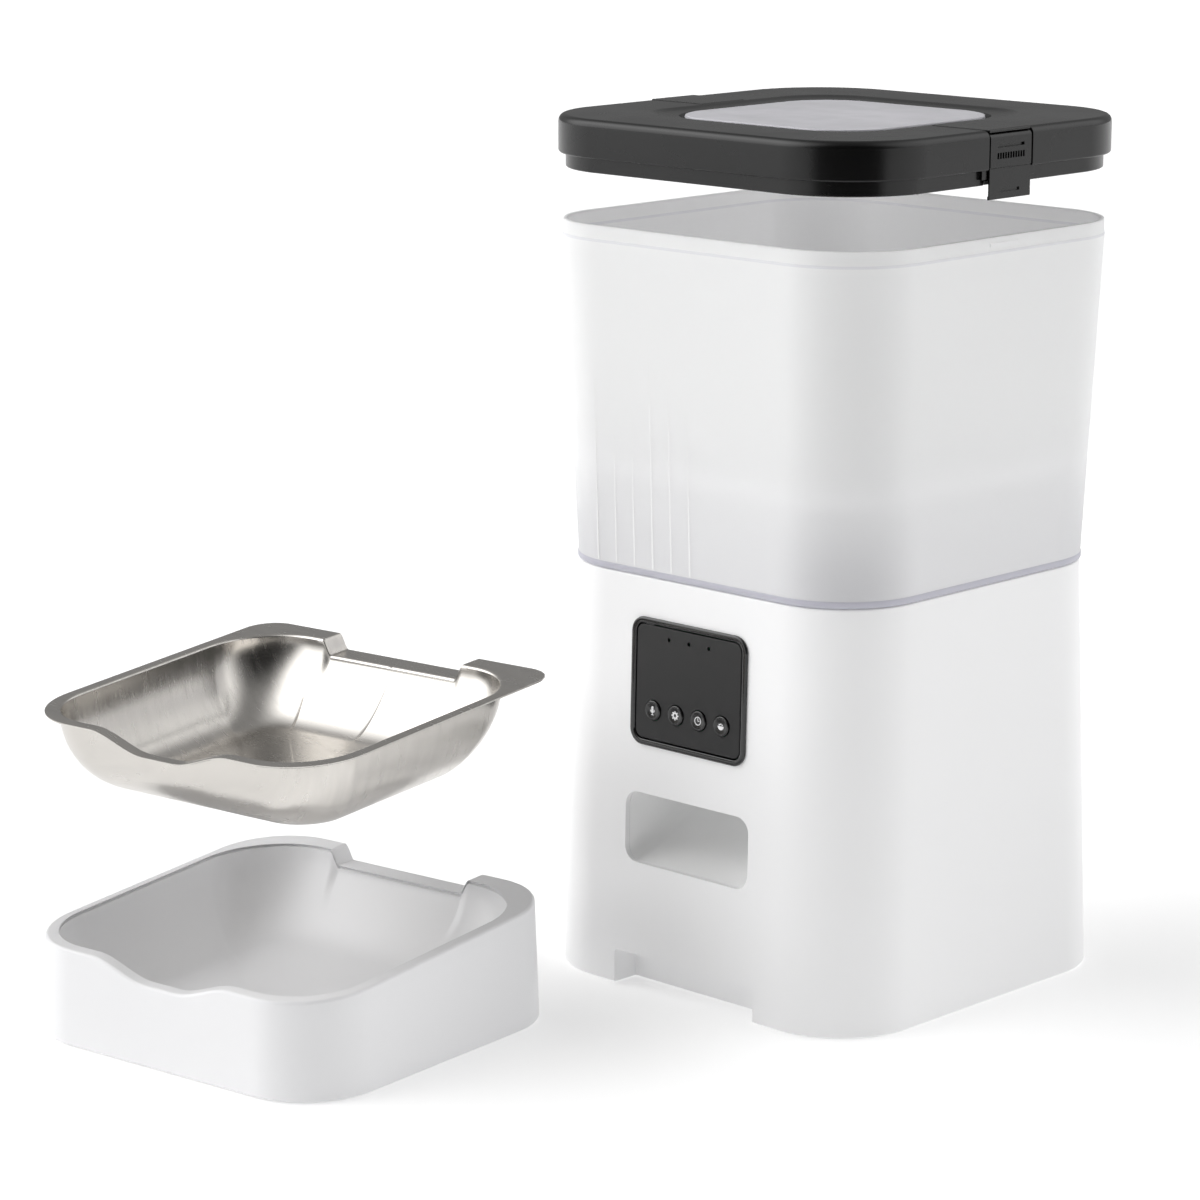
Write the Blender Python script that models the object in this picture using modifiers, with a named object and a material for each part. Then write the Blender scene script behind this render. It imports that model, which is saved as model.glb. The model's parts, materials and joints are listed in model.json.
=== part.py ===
"""Automatic pet feeder: base with dispenser, food hopper, lid with two latches, feeding tray and steel bowl.

Metres, +Z up. The origin is the middle of the base on the floor, and the front faces -Y.
The lid, the tray and the bowl stand apart from the base, as in an exploded view.
"""

import math

import bmesh
import bpy
from mathutils import Matrix, Vector

CORNER_STEPS = 6  # facets in each rounded corner
ROUND_STEPS = 32  # facets in a large turned piece
SMALL_STEPS = 16  # facets in a small turned piece
GAP = 0.0003  # running gap between pieces that meet
MOST_BEND = math.radians(40)  # edges sharper than this stay crisp

# Base
BASE_BOTTOM = 0.0008
BASE_TOP = 0.1866
BASE_WIDTH_LOW = 0.1897
BASE_WIDTH_HIGH = 0.1798
BASE_RADIUS = 0.039
BASE_WALL = 0.0025
DECK_THICKNESS = 0.003
FRONT_TILT = math.atan((BASE_WIDTH_LOW - BASE_WIDTH_HIGH) / 2 / BASE_TOP)
NOTCH_WIDTH = 0.0825
NOTCH_HEIGHT = 0.0162
NOTCH_DEPTH = 0.014
BOSS_OFFSET = 0.0765
BOSS_RADIUS = 0.0065
BOSS_TOP = 0.034
SCREW_HOLE_RADIUS = 0.0017
COVER_BOTTOM = 0.0012
COVER_THICKNESS = 0.0025
COVER_WIDTH = 0.1832
FOOT_RADIUS = 0.008
FOOT_PLACES = ((-0.06, -0.064), (0.06, -0.064), (-0.066, 0.052), (0.066, 0.052))

# Control panel, in a frame whose Z points out of the sloping front wall
PANEL_HEIGHT_AT = 0.1407
PANEL_WIDTH = 0.0675
PANEL_TALL = 0.0570
PANEL_RADIUS = 0.007
BEZEL_LIP = 0.0026
BEZEL_PROUD = 0.0013
SPIGOT_INSET = 0.0024
BUTTON_RADIUS = 0.00435
BUTTON_PITCH = 0.0134
BUTTON_ROW = -0.0122
PINHOLE_PITCH = 0.0117
PINHOLE_ROW = 0.0203
PINHOLE_RADIUS = 0.0009
BUTTONS = ("talk_button", "settings_button", "mode_button", "feed_button")

# Chute
CHUTE_WIDTH = 0.0725
CHUTE_TALL = 0.0320
CHUTE_HEIGHT_AT = 0.0743
CHUTE_RADIUS = 0.007
CHUTE_WALL = 0.002
INLET_WIDTH = 0.052
INLET_DEPTH = 0.031
INLET_Y = -0.0385

# Dispenser
TUB_RADIUS = 0.0595
TUB_WALL = 0.0025
TUB_BOTTOM = 0.140
TUB_FLANGE = 0.0645
ROTOR_LOW = 0.1442
ROTOR_HIGH = 0.1755
ROTOR_HUB = 0.011
ROTOR_RADIUS = 0.0552
PADDLES = 6
PADDLE_THICKNESS = 0.0022
SHAFT_RADIUS = 0.004
GEAR_MODULE = 0.0015
DRIVE_TEETH = 24
PINION_TEETH = 10
GEAR_LOW = 0.126
GEAR_HIGH = 0.132
PINION_Y = GEAR_MODULE * (DRIVE_TEETH + PINION_TEETH) / 2 + 0.0004

# Batteries
CELL_RADIUS = 0.0163
CELL_LENGTH = 0.0585
CELL_PITCH = 0.034
BATTERY_Y = 0.0535
DOOR_WIDTH = 0.103
DOOR_DEPTH = 0.063

# Back of the base
SPEAKER_X = -0.040
SPEAKER_Z = 0.128
INLET_X = 0.045
INLET_Z = 0.056
INLET_BARREL = 0.0042

# Hopper
HOPPER_BOTTOM = BASE_TOP + GAP
FLANGE_TOP = 0.1898
HOPPER_BAND = 0.3317
HOPPER_TOP = 0.3376
HOPPER_WIDTH_LOW = 0.1798
HOPPER_WIDTH_HIGH = 0.190
HOPPER_RADIUS = 0.0385
HOPPER_WALL = 0.003
FUNNEL_TOP = 0.236
NECK_RADIUS = 0.0545
NECK_BOTTOM = 0.1838
RIB_HEIGHTS = (0.084, 0.061, 0.068, 0.095, 0.082, 0.071)
RIB_PITCH = 0.0109

# Lid, held above the hopper
LID_LIFT = 0.0219
SKIRT_WIDTH = 0.189
SKIRT_BOTTOM = HOPPER_TOP + GAP + LID_LIFT
LID_EDGE = SKIRT_BOTTOM + 0.0065
LID_TOP = SKIRT_BOTTOM + 0.023
LID_WIDTH = 0.195
LID_RADIUS = 0.043
DISH_WIDTH = 0.1285
DISH_RADIUS = 0.028
WINDOW_WIDTH = 0.107
WINDOW_RADIUS = 0.0255
LATCH_WIDTH = 0.0272
LATCH_PIVOT_X = 0.0951
LATCH_PIVOT_Z = LID_TOP - 0.0036
KNUCKLE_RADIUS = 0.0023
PIN_RADIUS = 0.0009

# Tray and bowl, beside the base
TRAY_X = -0.1036
TRAY_Y = -0.2300
TRAY_WIDTH = 0.1752
TRAY_DEPTH = 0.1666
TRAY_TURN = 6.35
TRAY_RADIUS = 0.035
TRAY_DRAFT = 0.0015
TRAY_FOOT = 0.001
RIM_FRONT = 0.0428
RIM_BACK = 0.0550
SCOOP_DEPTH = 0.0072
NOTCH_DIP = 0.0068
TRAY_FLOOR = 0.0090
TONGUE_WIDTH = 0.040
TONGUE_REACH = 0.007
BOWL_LIFT = 0.0965
BOWL_SHEET = 0.0008
BOWL_FLOOR = 0.0110
EDGE_STOPS = (0.0428, 0.0403, 0.0388, 0.0371, 0.0352, 0.0250, 0.0120)


# ---------------------------------------------------------------- scene helpers

def clear_scene():
    for item in list(bpy.data.objects):
        bpy.data.objects.remove(item, do_unlink=True)


def new_collection(name):
    found = bpy.data.collections.new(name)
    bpy.context.scene.collection.children.link(found)
    return found


def new_material(name, colour, roughness, metallic=0.0, alpha=1.0):
    found = bpy.data.materials.new(name)
    found.use_nodes = True
    shader = found.node_tree.nodes["Principled BSDF"]
    shader.inputs["Base Color"].default_value = (*colour, 1.0)
    shader.inputs["Roughness"].default_value = roughness
    shader.inputs["Metallic"].default_value = metallic
    shader.inputs["Alpha"].default_value = alpha
    return found


def finish_mesh(shape, name):
    bmesh.ops.recalc_face_normals(shape, faces=shape.faces)
    mesh = bpy.data.meshes.new(name)
    shape.to_mesh(mesh)
    shape.free()
    mesh.shade_smooth()
    mesh.set_sharp_from_angle(angle=MOST_BEND)
    return mesh


def add_part(name, shape, material, frame=None):
    """Makes a named sub-part from a bmesh drawn in the space of its frame, an empty."""
    item = bpy.data.objects.new(name, finish_mesh(shape, name))
    item.data.materials.append(material)
    parts.objects.link(item)
    item.parent = frame
    return item


def add_frame(name, place=(0, 0, 0), tilt=0.0, parent=None):
    """An empty that a moving or sloping group is built on."""
    item = bpy.data.objects.new(name, None)
    item.location = place
    item.rotation_euler = (tilt, 0, 0)
    item.empty_display_size = 0.01
    item.parent = parent
    parts.objects.link(item)
    return item


def carve(item, shape, operation="DIFFERENCE"):
    """Cuts a shape from a sub-part, or joins it on, in the sub-part's own space."""
    name = f"{item.name}_{operation.lower()}_{len(item.modifiers) + 1}"
    tool = bpy.data.objects.new(name, finish_mesh(shape, name))
    tool.hide_render = True
    tool.display_type = "WIRE"
    tool.parent = item.parent
    cutters.objects.link(tool)
    modifier = item.modifiers.new(name, "BOOLEAN")
    modifier.operation = operation
    modifier.solver = "EXACT"
    modifier.object = tool


def join(item, shape):
    carve(item, shape, "UNION")


# ---------------------------------------------------------------- shape helpers

def arc(centre_x, centre_y, radius, start, sweep, steps):
    for step in range(steps + 1):
        angle = math.radians(start + sweep * step / steps)
        yield centre_x + radius * math.cos(angle), centre_y + radius * math.sin(angle)


def rounded(width, depth, radius, steps=CORNER_STEPS):
    """Points round a rounded rectangle, anticlockwise."""
    x, y = width / 2 - radius, depth / 2 - radius
    corners = ((x, -y, -90), (x, y, 0), (-x, y, 90), (-x, -y, 180))
    return [point for cx, cy, start in corners for point in arc(cx, cy, radius, start, 90, steps)]


def flat_ring(width, radius, z, depth=None):
    return [(x, y, z) for x, y in rounded(width, depth or width, radius)]


def round_ring(radius, z, steps=4 * CORNER_STEPS + 4):
    """A circle with as many points as flat_ring has, so that the two can be lofted."""
    return [(x, y, z) for x, y in list(arc(0, 0, radius, -90 + 180 / steps, 360, steps))[:-1]]


def loft(rings, closed=False, place=(0, 0, 0)):
    """A solid through rings of equal length. A closed loft is a tube that meets itself."""
    shape = bmesh.new()
    rows = [[shape.verts.new(Vector(point) + Vector(place)) for point in ring] for ring in rings]
    pairs = list(zip(rows, rows[1:] + rows[:1])) if closed else list(zip(rows, rows[1:]))
    for low, high in pairs:
        for here in range(len(low)):
            after = (here + 1) % len(low)
            shape.faces.new((low[here], low[after], high[after], high[here]))
    if not closed:
        shape.faces.new(rows[0][::-1])
        shape.faces.new(rows[-1])
    return shape


def box(size, centre):
    shape = bmesh.new()
    bmesh.ops.create_cube(shape, size=1.0, matrix=Matrix.Translation(centre) @ Matrix.Diagonal((*size, 1)))
    return shape


def span_box(low, high):
    size = [top - bottom for bottom, top in zip(low, high)]
    return box(size, [(top + bottom) / 2 for bottom, top in zip(low, high)])


def rod(radius, low, high, centre=(0, 0), steps=SMALL_STEPS, axis="Z", top_radius=None):
    """A cylinder, or a cone, between two heights along an axis through centre."""
    shape = bmesh.new()
    bmesh.ops.create_cone(
        shape,
        cap_ends=True,
        segments=steps,
        radius1=radius,
        radius2=radius if top_radius is None else top_radius,
        depth=high - low,
        matrix=Matrix.Translation((0, 0, (low + high) / 2)),
    )
    quarter = math.pi / 2
    turns = {"Z": Matrix(), "X": Matrix.Rotation(quarter, 4, "Y"), "Y": Matrix.Rotation(-quarter, 4, "X")}
    shifts = {"Z": (*centre, 0), "X": (0, *centre), "Y": (centre[0], 0, centre[1])}
    shape.transform(Matrix.Translation(shifts[axis]) @ turns[axis])
    return shape


def turned(name, profile, material, frame, steps=SMALL_STEPS):
    """A turned piece: its profile, (radius, z) from top to bottom, is spun by a Screw modifier."""
    shape = bmesh.new()
    hollow = profile[0] == profile[-1]
    points = [shape.verts.new((radius, 0, z)) for radius, z in profile[: -1 if hollow else None]]
    for first, second in zip(points, points[1:] + (points[:1] if hollow else [])):
        shape.edges.new((first, second))
    mesh = bpy.data.meshes.new(name)
    shape.to_mesh(mesh)
    shape.free()
    item = bpy.data.objects.new(name, mesh)
    item.data.materials.append(material)
    parts.objects.link(item)
    item.parent = frame
    spin = item.modifiers.new("spin", "SCREW")
    spin.steps = steps
    spin.render_steps = steps
    spin.use_merge_vertices = True
    spin.merge_threshold = 0.00001
    return item


def prism(outline, low, high):
    """A flat outline of (x, z) points, thickened along Y."""
    return loft([[(x, low, z) for x, z in outline], [(x, high, z) for x, z in outline]])


def base_half(z):
    """Half the base's outer width at a height."""
    low, high = BASE_WIDTH_LOW / 2, BASE_WIDTH_HIGH / 2
    return low + (high - low) * z / BASE_TOP


def hopper_half(z):
    """Half the hopper's outer width at a height."""
    low, high = HOPPER_WIDTH_LOW / 2, HOPPER_WIDTH_HIGH / 2
    return low + (high - low) * (z - HOPPER_BOTTOM) / (HOPPER_BAND - HOPPER_BOTTOM)


# ---------------------------------------------------------------- base

def make_base_shell():
    wall, deck = BASE_WALL, BASE_TOP - DECK_THICKNESS
    hole = TUB_RADIUS + 0.0008
    low, high, under = (2 * base_half(z) for z in (BASE_BOTTOM, BASE_TOP, deck))
    shell = add_part(
        "base_shell",
        loft(
            [
                flat_ring(low, BASE_RADIUS, BASE_BOTTOM),
                flat_ring(high, BASE_RADIUS, BASE_TOP),
                round_ring(hole, BASE_TOP),
                round_ring(hole, deck),
                flat_ring(under - 2 * wall, BASE_RADIUS - wall, deck),
                flat_ring(low - 2 * wall, BASE_RADIUS - wall, BASE_BOTTOM),
            ],
            closed=True,
        ),
        white_plastic,
    )
    for x in (-BOSS_OFFSET, BOSS_OFFSET):
        for y in (-BOSS_OFFSET, BOSS_OFFSET):
            join(shell, rod(BOSS_RADIUS, COVER_BOTTOM + COVER_THICKNESS + GAP, BOSS_TOP, (x, y)))
            carve(shell, rod(SCREW_HOLE_RADIUS, 0, 0.018, (x, y)))
    front = -base_half(0)
    pocket_back = front + NOTCH_DEPTH
    half = NOTCH_WIDTH / 2
    join(
        shell,
        span_box(
            (-half - wall, front + wall / 2 + 0.0003, BASE_BOTTOM),
            (half + wall, pocket_back + wall, NOTCH_HEIGHT + wall),
        ),
    )
    carve(shell, span_box((-half, front - 0.01, -0.01), (half, pocket_back, NOTCH_HEIGHT)))
    carve(shell, front_cutter(CHUTE_WIDTH, CHUTE_TALL, CHUTE_RADIUS, CHUTE_HEIGHT_AT))
    spigot_width, spigot_tall = PANEL_WIDTH - 2 * SPIGOT_INSET, PANEL_TALL - 2 * SPIGOT_INSET
    carve(
        shell,
        front_cutter(
            spigot_width + 2 * GAP, spigot_tall + 2 * GAP, PANEL_RADIUS - SPIGOT_INSET + GAP, PANEL_HEIGHT_AT
        ),
    )
    carve(shell, rod(INLET_BARREL + GAP, 0.08, 0.1, (INLET_X, INLET_Z), axis="Y"))
    for slot in range(-3, 4):
        tall = 0.030 - 0.003 * abs(slot)
        x = SPEAKER_X + 0.005 * slot
        carve(
            shell,
            span_box((x - 0.001, 0.08, SPEAKER_Z - tall / 2), (x + 0.001, 0.1, SPEAKER_Z + tall / 2)),
        )


def front_matrix(z):
    """The space whose Z points out of the sloping front wall at a height."""
    return Matrix.Translation((0, -base_half(z), z)) @ Matrix.Rotation(math.pi / 2 - FRONT_TILT, 4, "X")


def front_cutter(width, tall, radius, z):
    shape = loft([flat_ring(width, radius, depth, tall) for depth in (-0.012, 0.012)])
    shape.transform(front_matrix(z))
    return shape


def make_bottom_cover():
    low, high = COVER_BOTTOM, COVER_BOTTOM + COVER_THICKNESS
    cover = add_part(
        "bottom_cover",
        loft([flat_ring(COVER_WIDTH, BASE_RADIUS - 0.003, z) for z in (low, high)]),
        white_plastic,
    )
    half = NOTCH_WIDTH / 2 + BASE_WALL + 0.0005
    carve(cover, span_box((-half, -0.12, -0.01), (half, -0.0765, 0.01)))
    margin = 0.0007
    carve(
        cover,
        box((DOOR_WIDTH + 2 * margin, DOOR_DEPTH + 2 * margin, 0.02), (0, BATTERY_Y, COVER_BOTTOM)),
    )
    for x in (-BOSS_OFFSET, BOSS_OFFSET):
        for y in (-BOSS_OFFSET, BOSS_OFFSET):
            carve(cover, rod(SCREW_HOLE_RADIUS + 0.0002, -0.01, 0.01, (x, y)))
    for number, (x, y) in enumerate(FOOT_PLACES, start=1):
        carve(cover, rod(FOOT_RADIUS + 0.0004, -0.01, low + 0.0012, (x, y), steps=ROUND_STEPS))
        foot = turned(
            f"base_foot_{number}",
            [
                (0, low + 0.0009),
                (FOOT_RADIUS, low + 0.0009),
                (FOOT_RADIUS, 0.0006),
                (FOOT_RADIUS - 0.0006, 0),
                (0, 0),
            ],
            rubber,
            None,
            SMALL_STEPS,
        )
        foot.location = (x, y, 0)


def make_screws():
    shank, tip = 0.0014, 0.016
    places = [(x, y) for x in (-BOSS_OFFSET, BOSS_OFFSET) for y in (-BOSS_OFFSET, BOSS_OFFSET)]
    for number, (x, y) in enumerate(places, start=1):
        screw = turned(
            f"cover_screw_{number}",
            [
                (0, tip),
                (shank, tip - 0.001),
                (shank, 0.0009),
                (0.0029, 0.0009),
                (0.0024, 0.0002),
                (0, 0.0002),
            ],
            steel,
            None,
            10,
        )
        screw.location = (x, y, 0)


def make_panel():
    frame = add_frame("panel_frame", front_matrix(PANEL_HEIGHT_AT).to_translation(), math.pi / 2 - FRONT_TILT)
    lip = BEZEL_LIP
    spigot_width, spigot_tall = PANEL_WIDTH - 2 * SPIGOT_INSET, PANEL_TALL - 2 * SPIGOT_INSET
    inner_width, inner_tall = PANEL_WIDTH - 2 * lip - 0.002, PANEL_TALL - 2 * lip - 0.002

    def ring(inset, z):
        return flat_ring(PANEL_WIDTH - 2 * inset, PANEL_RADIUS - inset, z, PANEL_TALL - 2 * inset)

    add_part(
        "panel_bezel",
        loft(
            [
                ring(0, GAP),
                ring(0.0004, BEZEL_PROUD),
                ring(lip, BEZEL_PROUD),
                ring(lip + 0.0004, -0.0004),
                ring(lip + 0.001, -0.0014),
                ring(lip + 0.001, -0.0035),
                ring(SPIGOT_INSET, -0.0035),
                ring(SPIGOT_INSET, GAP),
            ],
            closed=True,
        ),
        gloss_black,
        frame,
    )
    inset = lip + 0.0007
    face = add_part(
        "panel_face",
        loft(
            [
                flat_ring(PANEL_WIDTH - 2 * inset, PANEL_RADIUS - inset, z, PANEL_TALL - 2 * inset)
                for z in (0.0, 0.0009)
            ]
        ),
        matte_black,
        frame,
    )
    places = [(step - 1.5) * BUTTON_PITCH for step in range(len(BUTTONS))]
    for x in places:
        carve(face, rod(BUTTON_RADIUS + GAP + 0.0001, -0.01, 0.01, (x, BUTTON_ROW)))
    for step in (-1, 0, 1):
        carve(face, rod(PINHOLE_RADIUS, -0.01, 0.01, (step * PINHOLE_PITCH, PINHOLE_ROW), steps=10))
    for name, x in zip(BUTTONS, places):
        button = turned(
            name,
            [
                (0, 0.0015),
                (BUTTON_RADIUS - 0.0009, 0.0016),
                (BUTTON_RADIUS, 0.0011),
                (BUTTON_RADIUS, -0.0018),
                (0.0018, -0.0018),
                (0.0018, -0.0040),
                (0, -0.0040),
            ],
            matte_black,
            frame,
            SMALL_STEPS,
        )
        button.location = (x, BUTTON_ROW, 0)
    board = add_part(
        "panel_board",
        box((spigot_width - 0.004, spigot_tall - 0.003, 0.0016), (0, 0, -0.0082)),
        circuit_green,
        frame,
    )
    for x in places:
        join(board, box((0.006, 0.006, 0.0026), (x, BUTTON_ROW, -0.0064)))
    for step in (-1, 0, 1):
        join(board, box((0.0025, 0.0016, 0.0018), (step * PINHOLE_PITCH, PINHOLE_ROW, -0.0068)))


# ---------------------------------------------------------------- chute and dispenser

def chute_ring(centre, up, width, tall, radius):
    """A rounded rectangle across the chute, spanned by X and a direction in the YZ plane."""
    up = Vector(up).normalized()
    middle = Vector(centre)
    return [middle + Vector((x, 0, 0)) + up * v for x, v in rounded(width, tall, radius, 4)]


def make_chute():
    outlet = front_matrix(CHUTE_HEIGHT_AT)
    out_up = outlet.to_3x3() @ Vector((0, 1, 0))
    out_middle = outlet @ Vector((0, 0, -BASE_WALL - GAP))
    sections = (
        ((0, INLET_Y, TUB_BOTTOM - GAP), (0, -1, 0), INLET_WIDTH, INLET_DEPTH),
        ((0, INLET_Y - 0.010, 0.112), (0, -0.80, 0.60), INLET_WIDTH + 0.010, 0.033),
        ((0, INLET_Y - 0.033, 0.086), (0, -0.45, 0.89), CHUTE_WIDTH - 0.004, 0.0335),
        (out_middle, out_up, CHUTE_WIDTH, CHUTE_TALL),
    )
    outside = [
        chute_ring(centre, up, width + 2 * CHUTE_WALL, tall + 2 * CHUTE_WALL, CHUTE_RADIUS + CHUTE_WALL)
        for centre, up, width, tall in sections
    ]
    inside = [chute_ring(centre, up, width, tall, CHUTE_RADIUS) for centre, up, width, tall in sections]
    add_part("food_chute", loft(outside + inside[::-1], closed=True), white_plastic)


def make_tub():
    inner = TUB_RADIUS - TUB_WALL
    floor = TUB_BOTTOM + TUB_WALL
    flange_high = BASE_TOP - DECK_THICKNESS - GAP
    flange_low = flange_high - 0.0022
    turned(
        "dispenser_ring",
        [
            (inner, BASE_TOP - GAP),
            (TUB_RADIUS, BASE_TOP - GAP),
            (TUB_RADIUS, flange_high),
            (TUB_FLANGE, flange_high),
            (TUB_FLANGE, flange_low),
            (TUB_RADIUS, flange_low),
            (TUB_RADIUS, floor + GAP),
            (inner, floor + GAP),
            (inner, BASE_TOP - GAP),
        ],
        white_plastic,
        None,
        ROUND_STEPS,
    )
    plate = turned(
        "dispenser_floor",
        [(0, floor), (TUB_RADIUS, floor), (TUB_RADIUS, TUB_BOTTOM), (0, TUB_BOTTOM)],
        white_plastic,
        None,
        ROUND_STEPS,
    )
    carve(plate, rod(0.0078, 0.1, 0.16, steps=24))
    outlet_low, outlet_high = INLET_Y - INLET_DEPTH / 2, INLET_Y + INLET_DEPTH / 2
    half = INLET_WIDTH / 2
    carve(plate, span_box((-half, outlet_low + 0.001, 0.13), (half, outlet_high, 0.15)))
    guard_radius = inner - GAP
    guard = add_part(
        "outlet_guard",
        loft([round_ring(guard_radius, z) for z in (0.1792, 0.1812)]),
        white_plastic,
    )
    carve(guard, span_box((-0.08, INLET_Y + INLET_DEPTH / 2 + 0.002, 0.17), (0.08, 0.08, 0.19)))
    bush = turned(
        "shaft_bush",
        [
            (SHAFT_RADIUS + GAP, floor + 0.0012),
            (0.0105, floor + 0.0012),
            (0.0105, floor + GAP),
            (0.0075, floor + GAP),
            (0.0075, TUB_BOTTOM - 0.002),
            (SHAFT_RADIUS + GAP, TUB_BOTTOM - 0.002),
            (SHAFT_RADIUS + GAP, floor + 0.0012),
        ],
        brass,
        None,
        24,
    )
    bush.location = (0, 0, 0)


def make_gear_bracket():
    plate_low, plate_high = 0.1170, 0.1195
    bracket = add_part(
        "gear_bracket",
        span_box((-0.032, -0.013, plate_low), (0.032, 0.048, plate_high)),
        grey_plastic,
    )
    for x in (-0.029, 0.029):
        for y in (-0.010, 0.045):
            join(bracket, rod(0.0028, plate_high - 0.001, TUB_BOTTOM - GAP, (x, y), steps=12))
    carve(bracket, rod(0.0046, 0.1, 0.13, steps=24))
    carve(bracket, rod(0.0040, 0.1, 0.13, (0, PINION_Y), steps=24))


def make_motor():
    top = 0.1170 - GAP
    body = span_box((-0.013, PINION_Y - 0.011, 0.098), (0.013, PINION_Y + 0.011, top))
    motor = add_part("gear_motor", body, steel)
    join(motor, rod(0.0100, 0.072, 0.100, (0, PINION_Y), steps=24))
    carve(motor, rod(0.0029, 0.106, 0.13, (0, PINION_Y), steps=SMALL_STEPS))


def gear_ring(teeth, z, grow=0.0):
    """The outline of a spur gear with straight-sided teeth and working clearance."""
    pitch_radius = GEAR_MODULE * teeth / 2
    tip, root = pitch_radius + 0.85 * GEAR_MODULE, pitch_radius - 1.2 * GEAR_MODULE
    step = 2 * math.pi / teeth
    flank = ((-0.29, root), (-0.115, tip), (0.115, tip), (0.29, root))
    points = []
    for tooth in range(teeth):
        for share, radius in flank:
            angle = (tooth + share + grow) * step
            points.append((radius * math.sin(angle), radius * math.cos(angle), z))
    return points[::-1]


def bore_ring(count, radius, z):
    return [
        (radius * math.sin(-2 * math.pi * step / count), radius * math.cos(2 * math.pi * step / count), z)
        for step in range(count)
    ]


def gear_shape(teeth, bore, low, high, phase):
    count = 4 * teeth
    return loft(
        [
            gear_ring(teeth, low, phase),
            gear_ring(teeth, high, phase),
            bore_ring(count, bore, high),
            bore_ring(count, bore, low),
        ],
        closed=True,
    )


def make_rotor():
    frame = add_frame("rotor_axis", (0, 0, 0))
    rotor = turned(
        "food_rotor",
        [
            (0, ROTOR_HIGH + 0.004),
            (0.006, ROTOR_HIGH + 0.003),
            (ROTOR_HUB, ROTOR_HIGH - 0.002),
            (ROTOR_HUB, ROTOR_LOW + 0.0015),
            (0, ROTOR_LOW + 0.0015),
        ],
        green_rubber,
        frame,
        24,
    )
    for paddle in range(PADDLES // 2):
        blade = span_box(
            (-ROTOR_RADIUS, -PADDLE_THICKNESS / 2, ROTOR_LOW + 0.0018),
            (ROTOR_RADIUS, PADDLE_THICKNESS / 2, ROTOR_HIGH),
        )
        blade.transform(Matrix.Rotation(math.radians(11) + 2 * math.pi * paddle / PADDLES, 4, "Z"))
        join(rotor, blade)
    carve(rotor, rod(SHAFT_RADIUS + GAP, 0.13, 0.1705, steps=24))
    turned(
        "rotor_shaft",
        [(0, 0.170), (SHAFT_RADIUS, 0.1695), (SHAFT_RADIUS, 0.1135), (0, 0.1130)],
        steel,
        frame,
        24,
    )
    add_part(
        "drive_gear", gear_shape(DRIVE_TEETH, SHAFT_RADIUS + GAP, GEAR_LOW, GEAR_HIGH, 0.0), grey_plastic, frame
    )
    pinion_frame = add_frame("pinion_axis", (0, PINION_Y, 0))
    pinion_phase = 0.5 if PINION_TEETH % 2 == 0 else 0.0
    pinion = add_part(
        "motor_pinion",
        loft(
            [gear_ring(PINION_TEETH, z, pinion_phase) for z in (GEAR_LOW - 0.0005, GEAR_HIGH + 0.0005)]
        ),
        brass,
        pinion_frame,
    )
    join(pinion, rod(0.0025, 0.1075, GEAR_LOW + 0.001, steps=SMALL_STEPS))


# ---------------------------------------------------------------- electrical pieces

def make_electrics():
    wall_at = base_half(INLET_Z)
    inlet = add_part(
        "dc_inlet",
        rod(INLET_BARREL, wall_at - 0.014, wall_at - 0.0006, (INLET_X, INLET_Z), steps=24, axis="Y"),
        matte_black,
    )
    join(
        inlet,
        span_box(
            (INLET_X - 0.0055, wall_at - 0.016, INLET_Z - 0.006), (INLET_X + 0.0055, wall_at - 0.0035, INLET_Z + 0.006)
        ),
    )
    carve(inlet, rod(0.0030, wall_at - 0.010, wall_at + 0.01, (INLET_X, INLET_Z), steps=24, axis="Y"))
    back = base_half(SPEAKER_Z) - BASE_WALL - 0.0012
    speaker = add_part(
        "speaker",
        rod(0.020, back - 0.0035, back, (SPEAKER_X, SPEAKER_Z), steps=24, axis="Y"),
        matte_black,
    )
    join(speaker, rod(0.011, back - 0.010, back - 0.003, (SPEAKER_X, SPEAKER_Z), steps=24, axis="Y"))
    board = add_part("main_board", span_box((0.0700, -0.030, 0.050), (0.0716, 0.040, 0.112)), circuit_green)
    for low, high in (
        ((0.0640, -0.020, 0.090), (0.0705, -0.002, 0.108)),
        ((0.0665, 0.010, 0.080), (0.0705, 0.034, 0.100)),
        ((0.0610, -0.024, 0.055), (0.0705, 0.020, 0.064)),
    ):
        join(board, span_box(low, high))


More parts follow.
